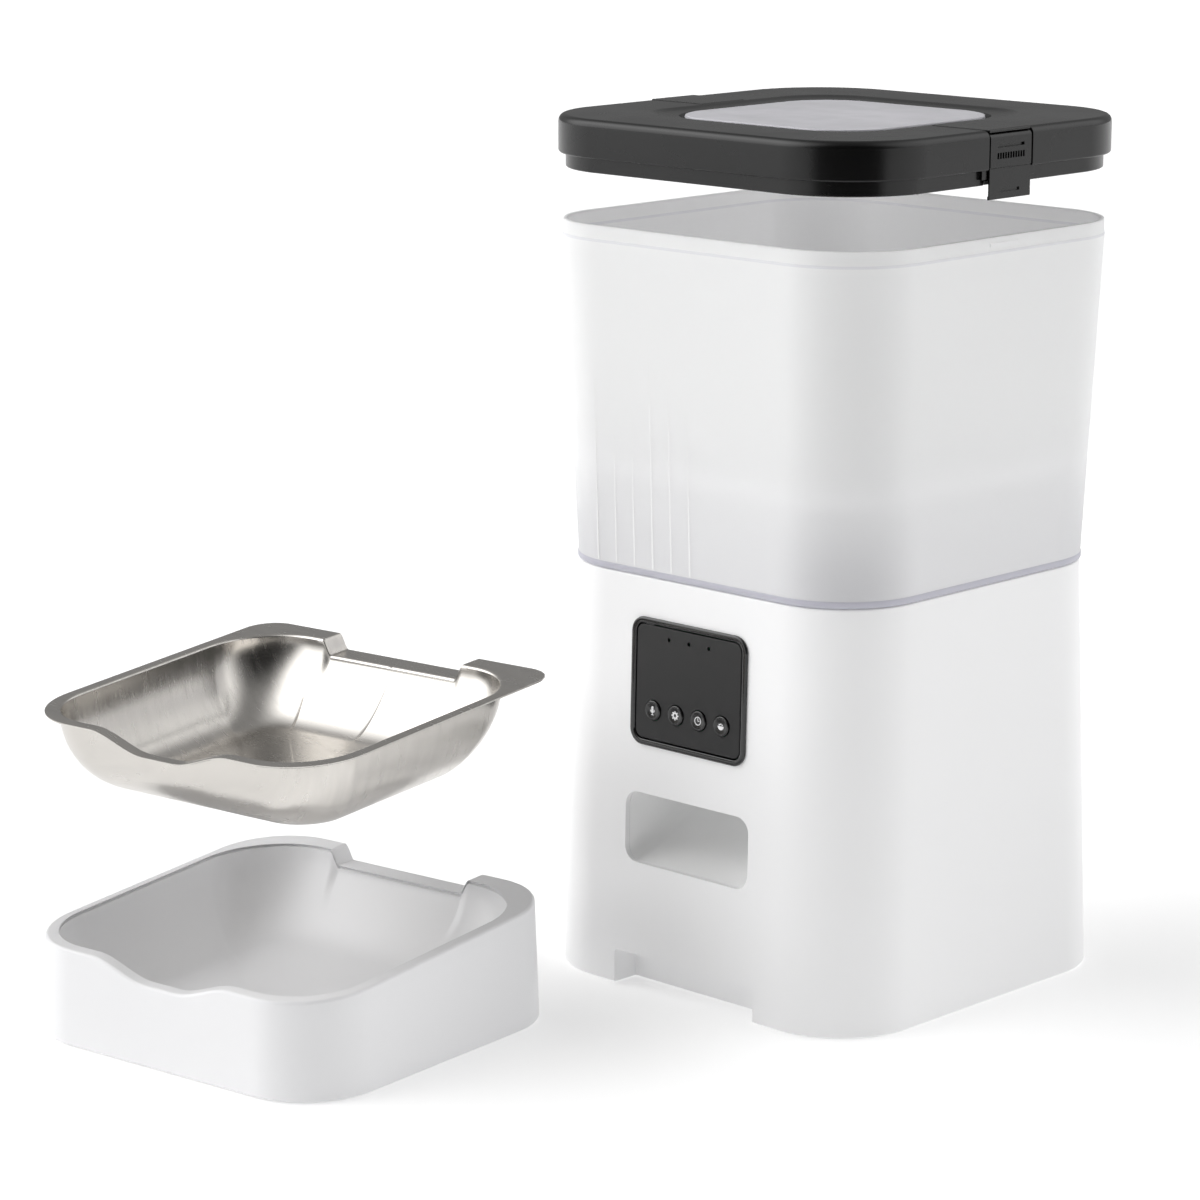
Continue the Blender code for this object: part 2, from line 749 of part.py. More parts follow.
def make_batteries():
    wall, low, high = 0.002, COVER_BOTTOM + COVER_THICKNESS + GAP, 0.0425
    inner_x, inner_y = 0.0525, 0.0322
    case = add_part(
        "battery_box",
        span_box(
            (-inner_x - wall, BATTERY_Y - inner_y - wall, low), (inner_x + wall, BATTERY_Y + inner_y + wall, high)
        ),
        grey_plastic,
    )
    carve(case, span_box((-inner_x, BATTERY_Y - inner_y, -0.01), (inner_x, BATTERY_Y + inner_y, high - wall)))
    middle = low + 0.0006 + CELL_RADIUS + GAP
    start = BATTERY_Y - CELL_LENGTH / 2 - 0.0006
    for number in (1, 2, 3):
        x = (number - 2) * CELL_PITCH
        cell = add_part(
            f"battery_cell_{number}",
            rod(CELL_RADIUS, start, start + CELL_LENGTH, (x, middle), steps=24, axis="Y"),
            cell_blue,
        )
        end = start + CELL_LENGTH
        join(cell, rod(0.0045, end - 0.001, end + 0.0015, (x, middle), steps=12, axis="Y"))
    contact_y = inner_y - 0.0007
    for name, y in (("contact_front", BATTERY_Y - contact_y), ("contact_rear", BATTERY_Y + contact_y)):
        add_part(name, box((0.098, 0.0006, 0.018), (0, y, middle)), steel)
    edge = BATTERY_Y - DOOR_DEPTH / 2
    axis_z = COVER_BOTTOM + 0.0012
    frame = add_frame("battery_door_axis", (0, edge + 0.0012, axis_z))
    door = add_part(
        "battery_door",
        span_box((-DOOR_WIDTH / 2, 0, -0.0009), (DOOR_WIDTH / 2, DOOR_DEPTH - 0.0012, 0.0011)),
        white_plastic,
        frame,
    )
    join(door, rod(0.0011, -DOOR_WIDTH / 2, DOOR_WIDTH / 2, (0, 0), steps=12, axis="X"))
    carve(door, span_box((-0.009, DOOR_DEPTH - 0.012, -0.002), (0.009, DOOR_DEPTH - 0.0075, -0.0003)))


# ---------------------------------------------------------------- hopper

def make_hopper():
    frame = add_frame("hopper_lift", (0, 0, HOPPER_BOTTOM))
    wall, radius = HOPPER_WALL, HOPPER_RADIUS
    neck_inner = NECK_RADIUS - 0.0022
    bead = 0.0004

    def ring(z, inset=0.0):
        half = hopper_half(z) - inset
        return flat_ring(2 * half, radius - inset, z - HOPPER_BOTTOM)

    def neck(neck_radius, z):
        return round_ring(neck_radius, z - HOPPER_BOTTOM)

    top_inset = hopper_half(HOPPER_TOP) - HOPPER_WIDTH_HIGH / 2 + 0.0004
    shell = add_part(
        "hopper_shell",
        loft(
            [
                ring(HOPPER_BOTTOM, -bead),
                ring(FLANGE_TOP, -bead),
                ring(FLANGE_TOP + 0.0004),
                ring(HOPPER_BAND),
                ring(HOPPER_BAND + 0.0004, 0.0004),
                ring(HOPPER_TOP, top_inset),
                ring(HOPPER_TOP, top_inset + wall - 0.0008),
                ring(FUNNEL_TOP, wall),
                neck(neck_inner + 0.004, 0.197),
                neck(neck_inner, 0.193),
                neck(neck_inner, NECK_BOTTOM),
                neck(NECK_RADIUS, NECK_BOTTOM),
                neck(NECK_RADIUS, 0.1915),
                neck(NECK_RADIUS + 0.003, 0.1946),
                ring(FUNNEL_TOP - 0.0035, wall),
                ring(HOPPER_BOTTOM, wall),
            ],
            closed=True,
        ),
        frosted_clear,
        frame,
    )
    for number, tall in enumerate(RIB_HEIGHTS):
        x = -0.0555 + number * RIB_PITCH
        low, high = FUNNEL_TOP - 0.006, FLANGE_TOP + tall
        lean = hopper_half(low)
        rib_low, rib_high = (x - 0.0005, -lean + wall / 2, low), (x + 0.0005, -lean + wall + 0.003, high)
        rib = span_box(rib_low, rib_high)
        rib.transform(Matrix.Translation((0, 0, -HOPPER_BOTTOM)))
        join(shell, rib)
    for side in (-1, 1):
        xs = sorted((side * (hopper_half(HOPPER_BAND) - 0.0015), side * (hopper_half(HOPPER_BAND) + 0.0001)))
        lug = span_box((xs[0], -0.0095, HOPPER_BAND + 0.0019), (xs[1], 0.0095, HOPPER_BAND + 0.0035))
        lug.transform(Matrix.Translation((0, 0, -HOPPER_BOTTOM)))
        join(shell, lug)


# ---------------------------------------------------------------- lid

def lid_ring(width, radius, z):
    return flat_ring(width, radius, z - SKIRT_BOTTOM)


def make_lid():
    frame = add_frame("lid_lift", (0, 0, SKIRT_BOTTOM))
    inner, groove_out, groove_in, groove_top = 0.179, 0.1872, 0.1818, SKIRT_BOTTOM + 0.0019
    under = LID_TOP - 0.0030
    seat = LID_TOP - 0.0056
    lid = add_part(
        "lid_frame",
        loft(
            [
                lid_ring(SKIRT_WIDTH, LID_RADIUS - 0.0025, SKIRT_BOTTOM),
                lid_ring(SKIRT_WIDTH, LID_RADIUS - 0.0025, LID_EDGE),
                lid_ring(LID_WIDTH, LID_RADIUS, LID_EDGE + 0.0004),
                lid_ring(LID_WIDTH, LID_RADIUS, LID_TOP - 0.0014),
                lid_ring(LID_WIDTH - 0.0026, LID_RADIUS - 0.0013, LID_TOP),
                lid_ring(DISH_WIDTH, DISH_RADIUS, LID_TOP),
                lid_ring(DISH_WIDTH - 0.006, DISH_RADIUS - 0.001, LID_TOP - 0.0009),
                lid_ring(WINDOW_WIDTH + 2 * GAP, WINDOW_RADIUS, LID_TOP - 0.0013),
                lid_ring(WINDOW_WIDTH + 2 * GAP, WINDOW_RADIUS, seat),
                lid_ring(WINDOW_WIDTH + 0.012, WINDOW_RADIUS + 0.004, seat),
                lid_ring(WINDOW_WIDTH + 0.013, WINDOW_RADIUS + 0.004, under),
                lid_ring(inner, LID_RADIUS - 0.0075, under),
                lid_ring(inner, LID_RADIUS - 0.0075, SKIRT_BOTTOM),
                lid_ring(groove_in, LID_RADIUS - 0.0061, SKIRT_BOTTOM),
                lid_ring(groove_in, LID_RADIUS - 0.0061, groove_top),
                lid_ring(groove_out, LID_RADIUS - 0.0034, groove_top),
                lid_ring(groove_out, LID_RADIUS - 0.0034, SKIRT_BOTTOM),
            ],
            closed=True,
        ),
        matte_black,
        frame,
    )
    add_part(
        "lid_gasket",
        loft(
            [
                lid_ring(groove_out - 2 * GAP, LID_RADIUS - 0.0037, SKIRT_BOTTOM + 0.0001),
                lid_ring(groove_out - 2 * GAP, LID_RADIUS - 0.0037, groove_top - GAP),
                lid_ring(groove_in + 2 * GAP, LID_RADIUS - 0.0058, groove_top - GAP),
                lid_ring(groove_in + 2 * GAP, LID_RADIUS - 0.0058, SKIRT_BOTTOM + 0.0001),
            ],
            closed=True,
        ),
        rubber,
        frame,
    )
    window_low = LID_TOP - 0.0052
    add_part(
        "lid_window",
        loft([lid_ring(WINDOW_WIDTH, WINDOW_RADIUS - GAP, z) for z in (window_low, LID_TOP - 0.0008)]),
        frosted_clear,
        frame,
    )
    box_width, box_top, box_low, box_wall = 0.086, window_low - GAP, SKIRT_BOTTOM + 0.003, 0.0016
    add_part(
        "desiccant_box",
        loft(
            [
                lid_ring(box_width, 0.012, box_low),
                lid_ring(box_width, 0.012, box_top),
                lid_ring(box_width - 2 * box_wall, 0.0104, box_top),
                lid_ring(box_width - 2 * box_wall, 0.0104, box_low + box_wall),
            ]
        ),
        white_plastic,
        frame,
    )
    add_part(
        "desiccant_pack",
        loft(
            [
                lid_ring(box_width - 0.012, 0.008, box_low + box_wall + GAP),
                lid_ring(box_width - 0.006, 0.009, box_low + 0.005),
                lid_ring(box_width - 0.012, 0.008, box_low + 0.0095),
            ]
        ),
        paper_white,
        frame,
    )
    for name, side in (("right", 1), ("left", -1)):
        make_latch(name, side, lid, frame)


def sided_box(side, low, high):
    """A box given for the +X side, mirrored for the other, in the lid's space."""
    xs = sorted((side * low[0], side * high[0]))
    return span_box((xs[0], low[1], low[2] - SKIRT_BOTTOM), (xs[1], high[1], high[2] - SKIRT_BOTTOM))


def make_latch(name, side, lid, frame):
    half = LATCH_WIDTH / 2
    pocket = half + 0.0005
    back_x = LATCH_PIVOT_X - KNUCKLE_RADIUS - 0.0004
    plate_low, plate_high = LID_TOP - 0.0010, LID_TOP + 0.0003
    plate_in = 0.0655
    join(
        lid,
        sided_box(
            side,
            (back_x - 0.002, -pocket - 0.0035, SKIRT_BOTTOM + 0.0026),
            (LATCH_PIVOT_X + 0.0016, pocket + 0.0035, LID_TOP - 0.0009),
        ),
    )
    carve(lid, sided_box(side, (back_x, -pocket, SKIRT_BOTTOM - 0.01), (0.11, pocket, LID_TOP + 0.01)))
    carve(
        lid,
        sided_box(side, (plate_in - GAP, -half - GAP, plate_low - GAP), (0.11, half + GAP, LID_TOP + 0.01)),
    )
    pivot = (side * LATCH_PIVOT_X, LATCH_PIVOT_Z - SKIRT_BOTTOM)
    pin_hole = rod(PIN_RADIUS + GAP, -pocket - 0.0025, pocket + 0.0025, pivot, steps=12, axis="Y")
    carve(lid, pin_hole)
    add_part(
        f"latch_plate_{name}",
        sided_box(side, (plate_in, -half, plate_low), (LID_WIDTH / 2 - 0.0008, half, plate_high)),
        matte_black,
        frame,
    )
    add_part(
        f"latch_pin_{name}",
        rod(
            PIN_RADIUS,
            -pocket - 0.0021,
            pocket + 0.0021,
            (side * LATCH_PIVOT_X, LATCH_PIVOT_Z - SKIRT_BOTTOM),
            steps=12,
            axis="Y",
        ),
        steel,
        frame,
    )
    hinge = add_frame(f"latch_axis_{name}", (pivot[0], 0, pivot[1]), parent=frame)
    outer = LID_WIDTH / 2 - 0.0001 - LATCH_PIVOT_X
    step_z = LID_EDGE + 0.0004 - LATCH_PIVOT_Z
    hook_z = SKIRT_BOTTOM - 0.0060 - LATCH_PIVOT_Z
    outline = list(arc(0, 0, KNUCKLE_RADIUS, 180, -180, 8))
    outline += [
        (outer, step_z),
        (outer - 0.0003, step_z),
        (outer - 0.0003, hook_z),
        (0.0008, hook_z),
        (0.0008, hook_z + 0.0014),
        (0.0012, hook_z + 0.0014),
        (0.0012, step_z),
        (-0.0004, step_z + 0.0015),
        (-0.0004, -0.0030),
        (-KNUCKLE_RADIUS, -0.0016),
    ]
    latch = add_part(
        f"latch_{name}", prism([(side * x, z) for x, z in outline], -half, half), matte_black, hinge
    )
    carve(latch, rod(PIN_RADIUS + GAP, -0.03, 0.03, (0, 0), steps=12, axis="Y"))


# ---------------------------------------------------------------- tray and bowl

def smooth(value):
    value = min(max(value, 0.0), 1.0)
    return value * value * (3 - 2 * value)


def notch_dip(place):
    return NOTCH_DIP * smooth((0.0403 - abs(place)) / 0.0052)


def scoop_dip(place):
    return SCOOP_DEPTH * smooth((0.0390 - abs(place)) / 0.0310)


def dish_ring(inset, share, level, lower=0.0, back_extra=0.0, back_round=0.0):
    """A ring of the tray or bowl, inset from the rim's outline and sunk from the rim towards a level.

    share is 0 on the rim, which rises to the back, dips in a scoop at the front and has a notch at the
    back, and 1 on the flat level. back_round is added to the radius of the two back corners.
    """
    width = TRAY_WIDTH - 2 * TRAY_DRAFT - 2 * inset
    depth = TRAY_DEPTH - 2 * TRAY_DRAFT - 2 * inset - back_extra
    middle = -back_extra / 2
    radius = max(TRAY_RADIUS - TRAY_DRAFT - 0.6 * inset, 0.012)
    stops = EDGE_STOPS + tuple(-stop for stop in EDGE_STOPS[::-1])
    ring = []
    for corner, (side, end) in enumerate(((1, -1), (1, 1), (-1, 1), (-1, -1))):
        bend = radius + (back_round if end > 0 else 0.0)
        cx, cy = side * (width / 2 - bend), end * (depth / 2 - bend)
        narrowing = min(1.0, abs(cx) / EDGE_STOPS[0])
        ring += [(px, py, 0.0) for px, py in arc(cx, cy, bend, 90 * corner - 90, 90, CORNER_STEPS)]
        if corner == 1:
            ring += [(stop * narrowing, depth / 2, notch_dip(stop)) for stop in stops]
        if corner == 3:
            ring += [(-stop * narrowing, -depth / 2, scoop_dip(stop)) for stop in stops]
    points = []
    for px, py, dip in ring:
        rim = RIM_FRONT + (RIM_BACK - RIM_FRONT) * (py / TRAY_DEPTH + 0.5) - dip
        points.append((px, py + middle, rim * (1 - share) + level * share - lower))
    return points


def foot_ring(inset, z):
    """A flat ring near the tray's lower edge, with as many points as dish_ring."""
    return dish_ring(inset - TRAY_DRAFT, 1.0, z)


BASIN = ((0, 0.0), (0.0004, 0.06), (0.0021, 0.342), (0.0078, 0.643), (0.0166, 0.880), (0.0310, 1.0))
BASIN_BACK, BASIN_ROUND = 0.006, 0.006


def basin_ring(inset, share, level, lower=0.0):
    """A ring of the basin in the tray or the bowl, which keeps further from the back edge."""
    return dish_ring(inset, share, level, lower, BASIN_BACK, BASIN_ROUND)


def make_tray():
    frame = add_frame("tray_slide", (TRAY_X, TRAY_Y, 0))
    frame.rotation_euler.z = math.radians(TRAY_TURN)
    rim_inset = 0.005
    inside = [basin_ring(rim_inset + inset, share, TRAY_FLOOR) for inset, share in BASIN]
    below = [basin_ring(rim_inset + inset - 0.002, share, TRAY_FLOOR, 0.0026) for inset, share in BASIN[:1:-1]]
    tray = add_part(
        "tray",
        loft(
            below
            + [
                dish_ring(0.0034, 0.30, TRAY_FLOOR, 0.0026),
                foot_ring(0.0028, TRAY_FOOT),
                foot_ring(0.0006, TRAY_FOOT),
                foot_ring(0.0, TRAY_FOOT + 0.0008),
                dish_ring(0.0, 0.0, TRAY_FLOOR),
            ]
            + inside
        ),
        white_plastic,
        frame,
    )
    back_face = TRAY_DEPTH / 2
    half = TONGUE_WIDTH / 2
    tongue_low = (-half, back_face - 0.0024, TRAY_FOOT + 0.0005)
    join(tray, span_box(tongue_low, (half, back_face + TONGUE_REACH, 0.0125)))
    for number, (x, y) in enumerate(((-1, -1), (1, -1), (-1, 1), (1, 1)), start=1):
        place = (x * 0.0450, y * 0.0420)
        foot = turned(
            f"tray_foot_{number}",
            [
                (0, TRAY_FLOOR - 0.0026 - GAP),
                (0.006, TRAY_FLOOR - 0.0026 - GAP),
                (0.0065, 0.0004),
                (0.006, 0),
                (0, 0),
            ],
            rubber,
            frame,
            SMALL_STEPS,
        )
        foot.location = (*place, 0)


def make_bowl():
    frame = add_frame("bowl_lift", (0, 0, BOWL_LIFT), parent=bpy.data.objects["tray_slide"])
    edge, flange, corner = 0.0025, 0.0082, -0.0180
    top = BOWL_SHEET + GAP
    inside = [
        basin_ring(flange + inset, share, BOWL_FLOOR + top, -top * (1 - share))
        for inset, share in BASIN
    ]
    outside = [
        basin_ring(flange + inset - BOWL_SHEET * 0.9, share, BOWL_FLOOR + GAP, -GAP * (1 - share))
        for inset, share in BASIN[::-1]
    ]
    rim = [dish_ring(edge, 0, 0, -rise, back_round=corner) for rise in (GAP, top)]
    add_part("bowl", loft(outside + rim + inside), steel, frame)


clear_scene()
parts = new_collection("pet_feeder")
cutters = new_collection("pet_feeder_cutters")
white_plastic = new_material("white_plastic", (0.90, 0.90, 0.91), 0.30)
grey_plastic = new_material("grey_plastic", (0.45, 0.46, 0.48), 0.45)
matte_black = new_material("matte_black", (0.030, 0.030, 0.032), 0.45)
gloss_black = new_material("gloss_black", (0.012, 0.012, 0.013), 0.12)
frosted_clear = new_material("frosted_clear", (0.86, 0.86, 0.90), 0.40, alpha=0.5)
rubber = new_material("rubber", (0.20, 0.20, 0.21), 0.85)
green_rubber = new_material("green_rubber", (0.20, 0.52, 0.34), 0.60)
steel = new_material("steel", (0.62, 0.60, 0.57), 0.28, 1.0)
brass = new_material("brass", (0.75, 0.58, 0.30), 0.30, 1.0)
circuit_green = new_material("circuit_green", (0.02, 0.20, 0.08), 0.50)
cell_blue = new_material("cell_blue", (0.10, 0.16, 0.30), 0.35)
paper_white = new_material("paper_white", (0.88, 0.87, 0.84), 0.80)

make_base_shell()
make_bottom_cover()
make_screws()
make_panel()
make_chute()
make_tub()
make_gear_bracket()
make_motor()
make_rotor()
make_electrics()
make_batteries()
make_hopper()
make_lid()
make_tray()
make_bowl()
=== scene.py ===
"""Looks of the automatic pet feeder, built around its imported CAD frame.

Metres, in the frame of the CAD model: +Z up, the front faces -Y, and the base stands at the origin.
"""

import json
import math

import bmesh
import bpy
from mathutils import Matrix, Vector


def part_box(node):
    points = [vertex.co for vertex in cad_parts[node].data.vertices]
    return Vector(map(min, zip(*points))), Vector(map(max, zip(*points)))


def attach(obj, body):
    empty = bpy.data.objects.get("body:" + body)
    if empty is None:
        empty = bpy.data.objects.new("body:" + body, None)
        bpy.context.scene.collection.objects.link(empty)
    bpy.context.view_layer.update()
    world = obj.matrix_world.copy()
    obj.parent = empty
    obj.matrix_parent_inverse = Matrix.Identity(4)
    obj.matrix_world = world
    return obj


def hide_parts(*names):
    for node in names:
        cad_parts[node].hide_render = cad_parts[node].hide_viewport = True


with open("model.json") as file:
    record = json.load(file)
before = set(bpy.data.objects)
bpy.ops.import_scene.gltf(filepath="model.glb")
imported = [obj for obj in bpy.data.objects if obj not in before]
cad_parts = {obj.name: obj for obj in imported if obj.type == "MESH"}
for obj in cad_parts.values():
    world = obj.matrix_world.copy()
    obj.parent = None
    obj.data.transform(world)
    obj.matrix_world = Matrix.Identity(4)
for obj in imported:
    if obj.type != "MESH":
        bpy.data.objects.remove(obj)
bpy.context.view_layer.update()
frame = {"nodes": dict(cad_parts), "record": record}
nodes = frame["nodes"]

ARC = 18  # facets in each rounded corner
TURN = 64  # facets in a turned piece
GAP = 0.0003

# Shapes the CAD boxes don't give: widths at other heights, radii and wall thicknesses
BASE_TOP_WIDTH = 0.1798
BASE_RADIUS = 0.039
BASE_WALL = 0.0025
NOTCH_WIDTH, NOTCH_HEIGHT, NOTCH_DEPTH = 0.0825, 0.0162, 0.014
PANEL_WIDTH, PANEL_TALL, PANEL_RADIUS, PANEL_Z = 0.0675, 0.0570, 0.007, 0.1407
BEZEL_LIP, BEZEL_PROUD, SPIGOT_INSET = 0.0026, 0.0013, 0.0024
BUTTON_RADIUS, BUTTON_PITCH, BUTTON_ROW = 0.00435, 0.0134, -0.0122
PINHOLE_PITCH, PINHOLE_ROW, PINHOLE_RADIUS = 0.0117, 0.0203, 0.0009
CHUTE_WIDTH, CHUTE_TALL, CHUTE_RADIUS, CHUTE_Z = 0.0725, 0.0320, 0.007, 0.0743
TUB_HOLE = 0.0603
HOPPER_LOW_WIDTH, HOPPER_RADIUS, HOPPER_WALL = 0.1798, 0.0385, 0.003
HOPPER_BAND = 0.3317
FUNNEL_TOP, NECK_RADIUS = 0.236, 0.0545
RIB_HEIGHTS = (0.084, 0.061, 0.068, 0.095, 0.082, 0.071)
RIB_PITCH = 0.0109
LID_RADIUS = 0.043
SKIRT_WIDTH = 0.189
DISH_WIDTH, DISH_RADIUS = 0.1285, 0.028
WINDOW_RADIUS = 0.0255
LATCH_PIVOT_X = 0.0951
TRAY_X, TRAY_Y, TRAY_TURN = -0.1036, -0.2300, 6.35
TRAY_RADIUS, TRAY_DRAFT, TRAY_BASE = 0.035, 0.0015, 0.001
RIM_FRONT, RIM_BACK = 0.0428, 0.0550
TRAY_WIDTH, TRAY_DEPTH = 0.1752, 0.1666
SCOOP_DEPTH, NOTCH_DIP = 0.0072, 0.0068
TRAY_FLOOR, BOWL_FLOOR, BOWL_SHEET = 0.0090, 0.0110, 0.0008
BOWL_LIFT = 0.0965
EDGE_REACH = 0.0428

base_low, base_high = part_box("base_shell")
hopper_low, hopper_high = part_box("hopper_shell")
lid_low, lid_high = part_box("lid_frame")
TILT = math.atan((base_high.x - BASE_TOP_WIDTH / 2) / (base_high.z - 0.0008))


# ---------------------------------------------------------------- shapes

def arc(cx, cy, radius, start, sweep, steps):
    for step in range(steps + 1):
        angle = math.radians(start + sweep * step / steps)
        yield cx + radius * math.cos(angle), cy + radius * math.sin(angle)


def rounded(width, depth, radius, steps=ARC):
    x, y = width / 2 - radius, depth / 2 - radius
    corners = ((x, -y, -90), (x, y, 0), (-x, y, 90), (-x, -y, 180))
    return [point for cx, cy, start in corners for point in arc(cx, cy, radius, start, 90, steps)]


def flat_ring(width, radius, z, depth=None, steps=ARC):
    return [(x, y, z) for x, y in rounded(width, depth or width, radius, steps)]


def round_ring(radius, z, count=4 * ARC + 4):
    turn = 2 * math.pi / count
    angles = [turn * (k + 0.5) - math.pi / 2 for k in range(count)]
    return [(radius * math.cos(angle), radius * math.sin(angle), z) for angle in angles]


def loft(rings, closed=False):
    shape = bmesh.new()
    rows = [[shape.verts.new(Vector(point)) for point in ring] for ring in rings]
    for low, high in zip(rows, rows[1:] + (rows[:1] if closed else [])):
        for here in range(len(low)):
            after = (here + 1) % len(low)
            shape.faces.new((low[here], low[after], high[after], high[here]))
    if not closed:
        shape.faces.new(rows[0][::-1])
        shape.faces.new(rows[-1])
    return shape


def span_box(low, high):
    shape = bmesh.new()
    middle = [(a + b) / 2 for a, b in zip(low, high)]
    size = [b - a for a, b in zip(low, high)]
    bmesh.ops.create_cube(shape, size=1.0, matrix=Matrix.Translation(middle) @ Matrix.Diagonal((*size, 1)))
    return shape


def rod(radius, low, high, centre=(0, 0), axis="Z", count=TURN // 2):
    shape = loft([[(x, y, z) for x, y in list(arc(0, 0, radius, 0, 360, count))[:-1]] for z in (low, high)])
    turns = {
        "X": Matrix.Rotation(math.pi / 2, 4, "Y"),
        "Y": Matrix.Rotation(-math.pi / 2, 4, "X"),
        "Z": Matrix(),
    }
    shifts = {"Z": (*centre, 0), "X": (0, *centre), "Y": (centre[0], 0, centre[1])}
    shape.transform(Matrix.Translation(shifts[axis]) @ turns[axis])
    return shape


def turned(profile, count=TURN):
    """A solid turned about Z through (radius, z) points; a radius of 0 closes it."""
    rings = []
    for radius, z in profile:
        points = list(arc(0, 0, max(radius, 1e-5), 0, 360, count))[:-1]
        rings.append([(x, y, z) for x, y in points])
    return loft(rings)


def mesh_object(name, shape, place=None):
    if place is not None:
        shape.transform(place)
    bmesh.ops.recalc_face_normals(shape, faces=shape.faces)
    mesh = bpy.data.meshes.new(name)
    shape.to_mesh(mesh)
    shape.free()
    item = bpy.data.objects.new(name, mesh)
    bpy.context.scene.collection.objects.link(item)
    return item


def piece(
    name,
    shape,
    material,
    body,
    stands_for=(),
    cuts=(),
    joins=(),
    edge=0.0,
    place=None,
    bend=32,
):
    """A finished piece: cuts and joins are made, edges rounded, shading smoothed, and it rides on a body."""
    item = mesh_object(name, shape)
    tools = []
    for kind, others in (("UNION", joins), ("DIFFERENCE", cuts)):
        for other in others:
            tool = mesh_object("tool", other)
            tools.append(tool)
            modifier = item.modifiers.new("cut", "BOOLEAN")
            modifier.operation = kind
            modifier.solver = "EXACT"
            modifier.object = tool
    if edge:
        bevel = item.modifiers.new("edge", "BEVEL")
        bevel.width = edge
        bevel.segments = 3
        bevel.limit_method = "ANGLE"
        bevel.angle_limit = math.radians(40)
        bevel.use_clamp_overlap = True
    graph = bpy.context.evaluated_depsgraph_get()
    mesh = bpy.data.meshes.new_from_object(item.evaluated_get(graph), depsgraph=graph)
    item.modifiers.clear()
    item.data = mesh
    for tool in tools:
        bpy.data.objects.remove(tool)
    if place is not None:
        mesh.transform(place)
    mesh.shade_smooth()
    mesh.set_sharp_from_angle(angle=math.radians(bend))
    weighted = item.modifiers.new("shading", "WEIGHTED_NORMAL")
    weighted.keep_sharp = True
    item.data.materials.clear()
    item.data.materials.append(material)
    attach(item, body)
    if stands_for:
        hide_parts(*stands_for)
    return item


# ---------------------------------------------------------------- materials

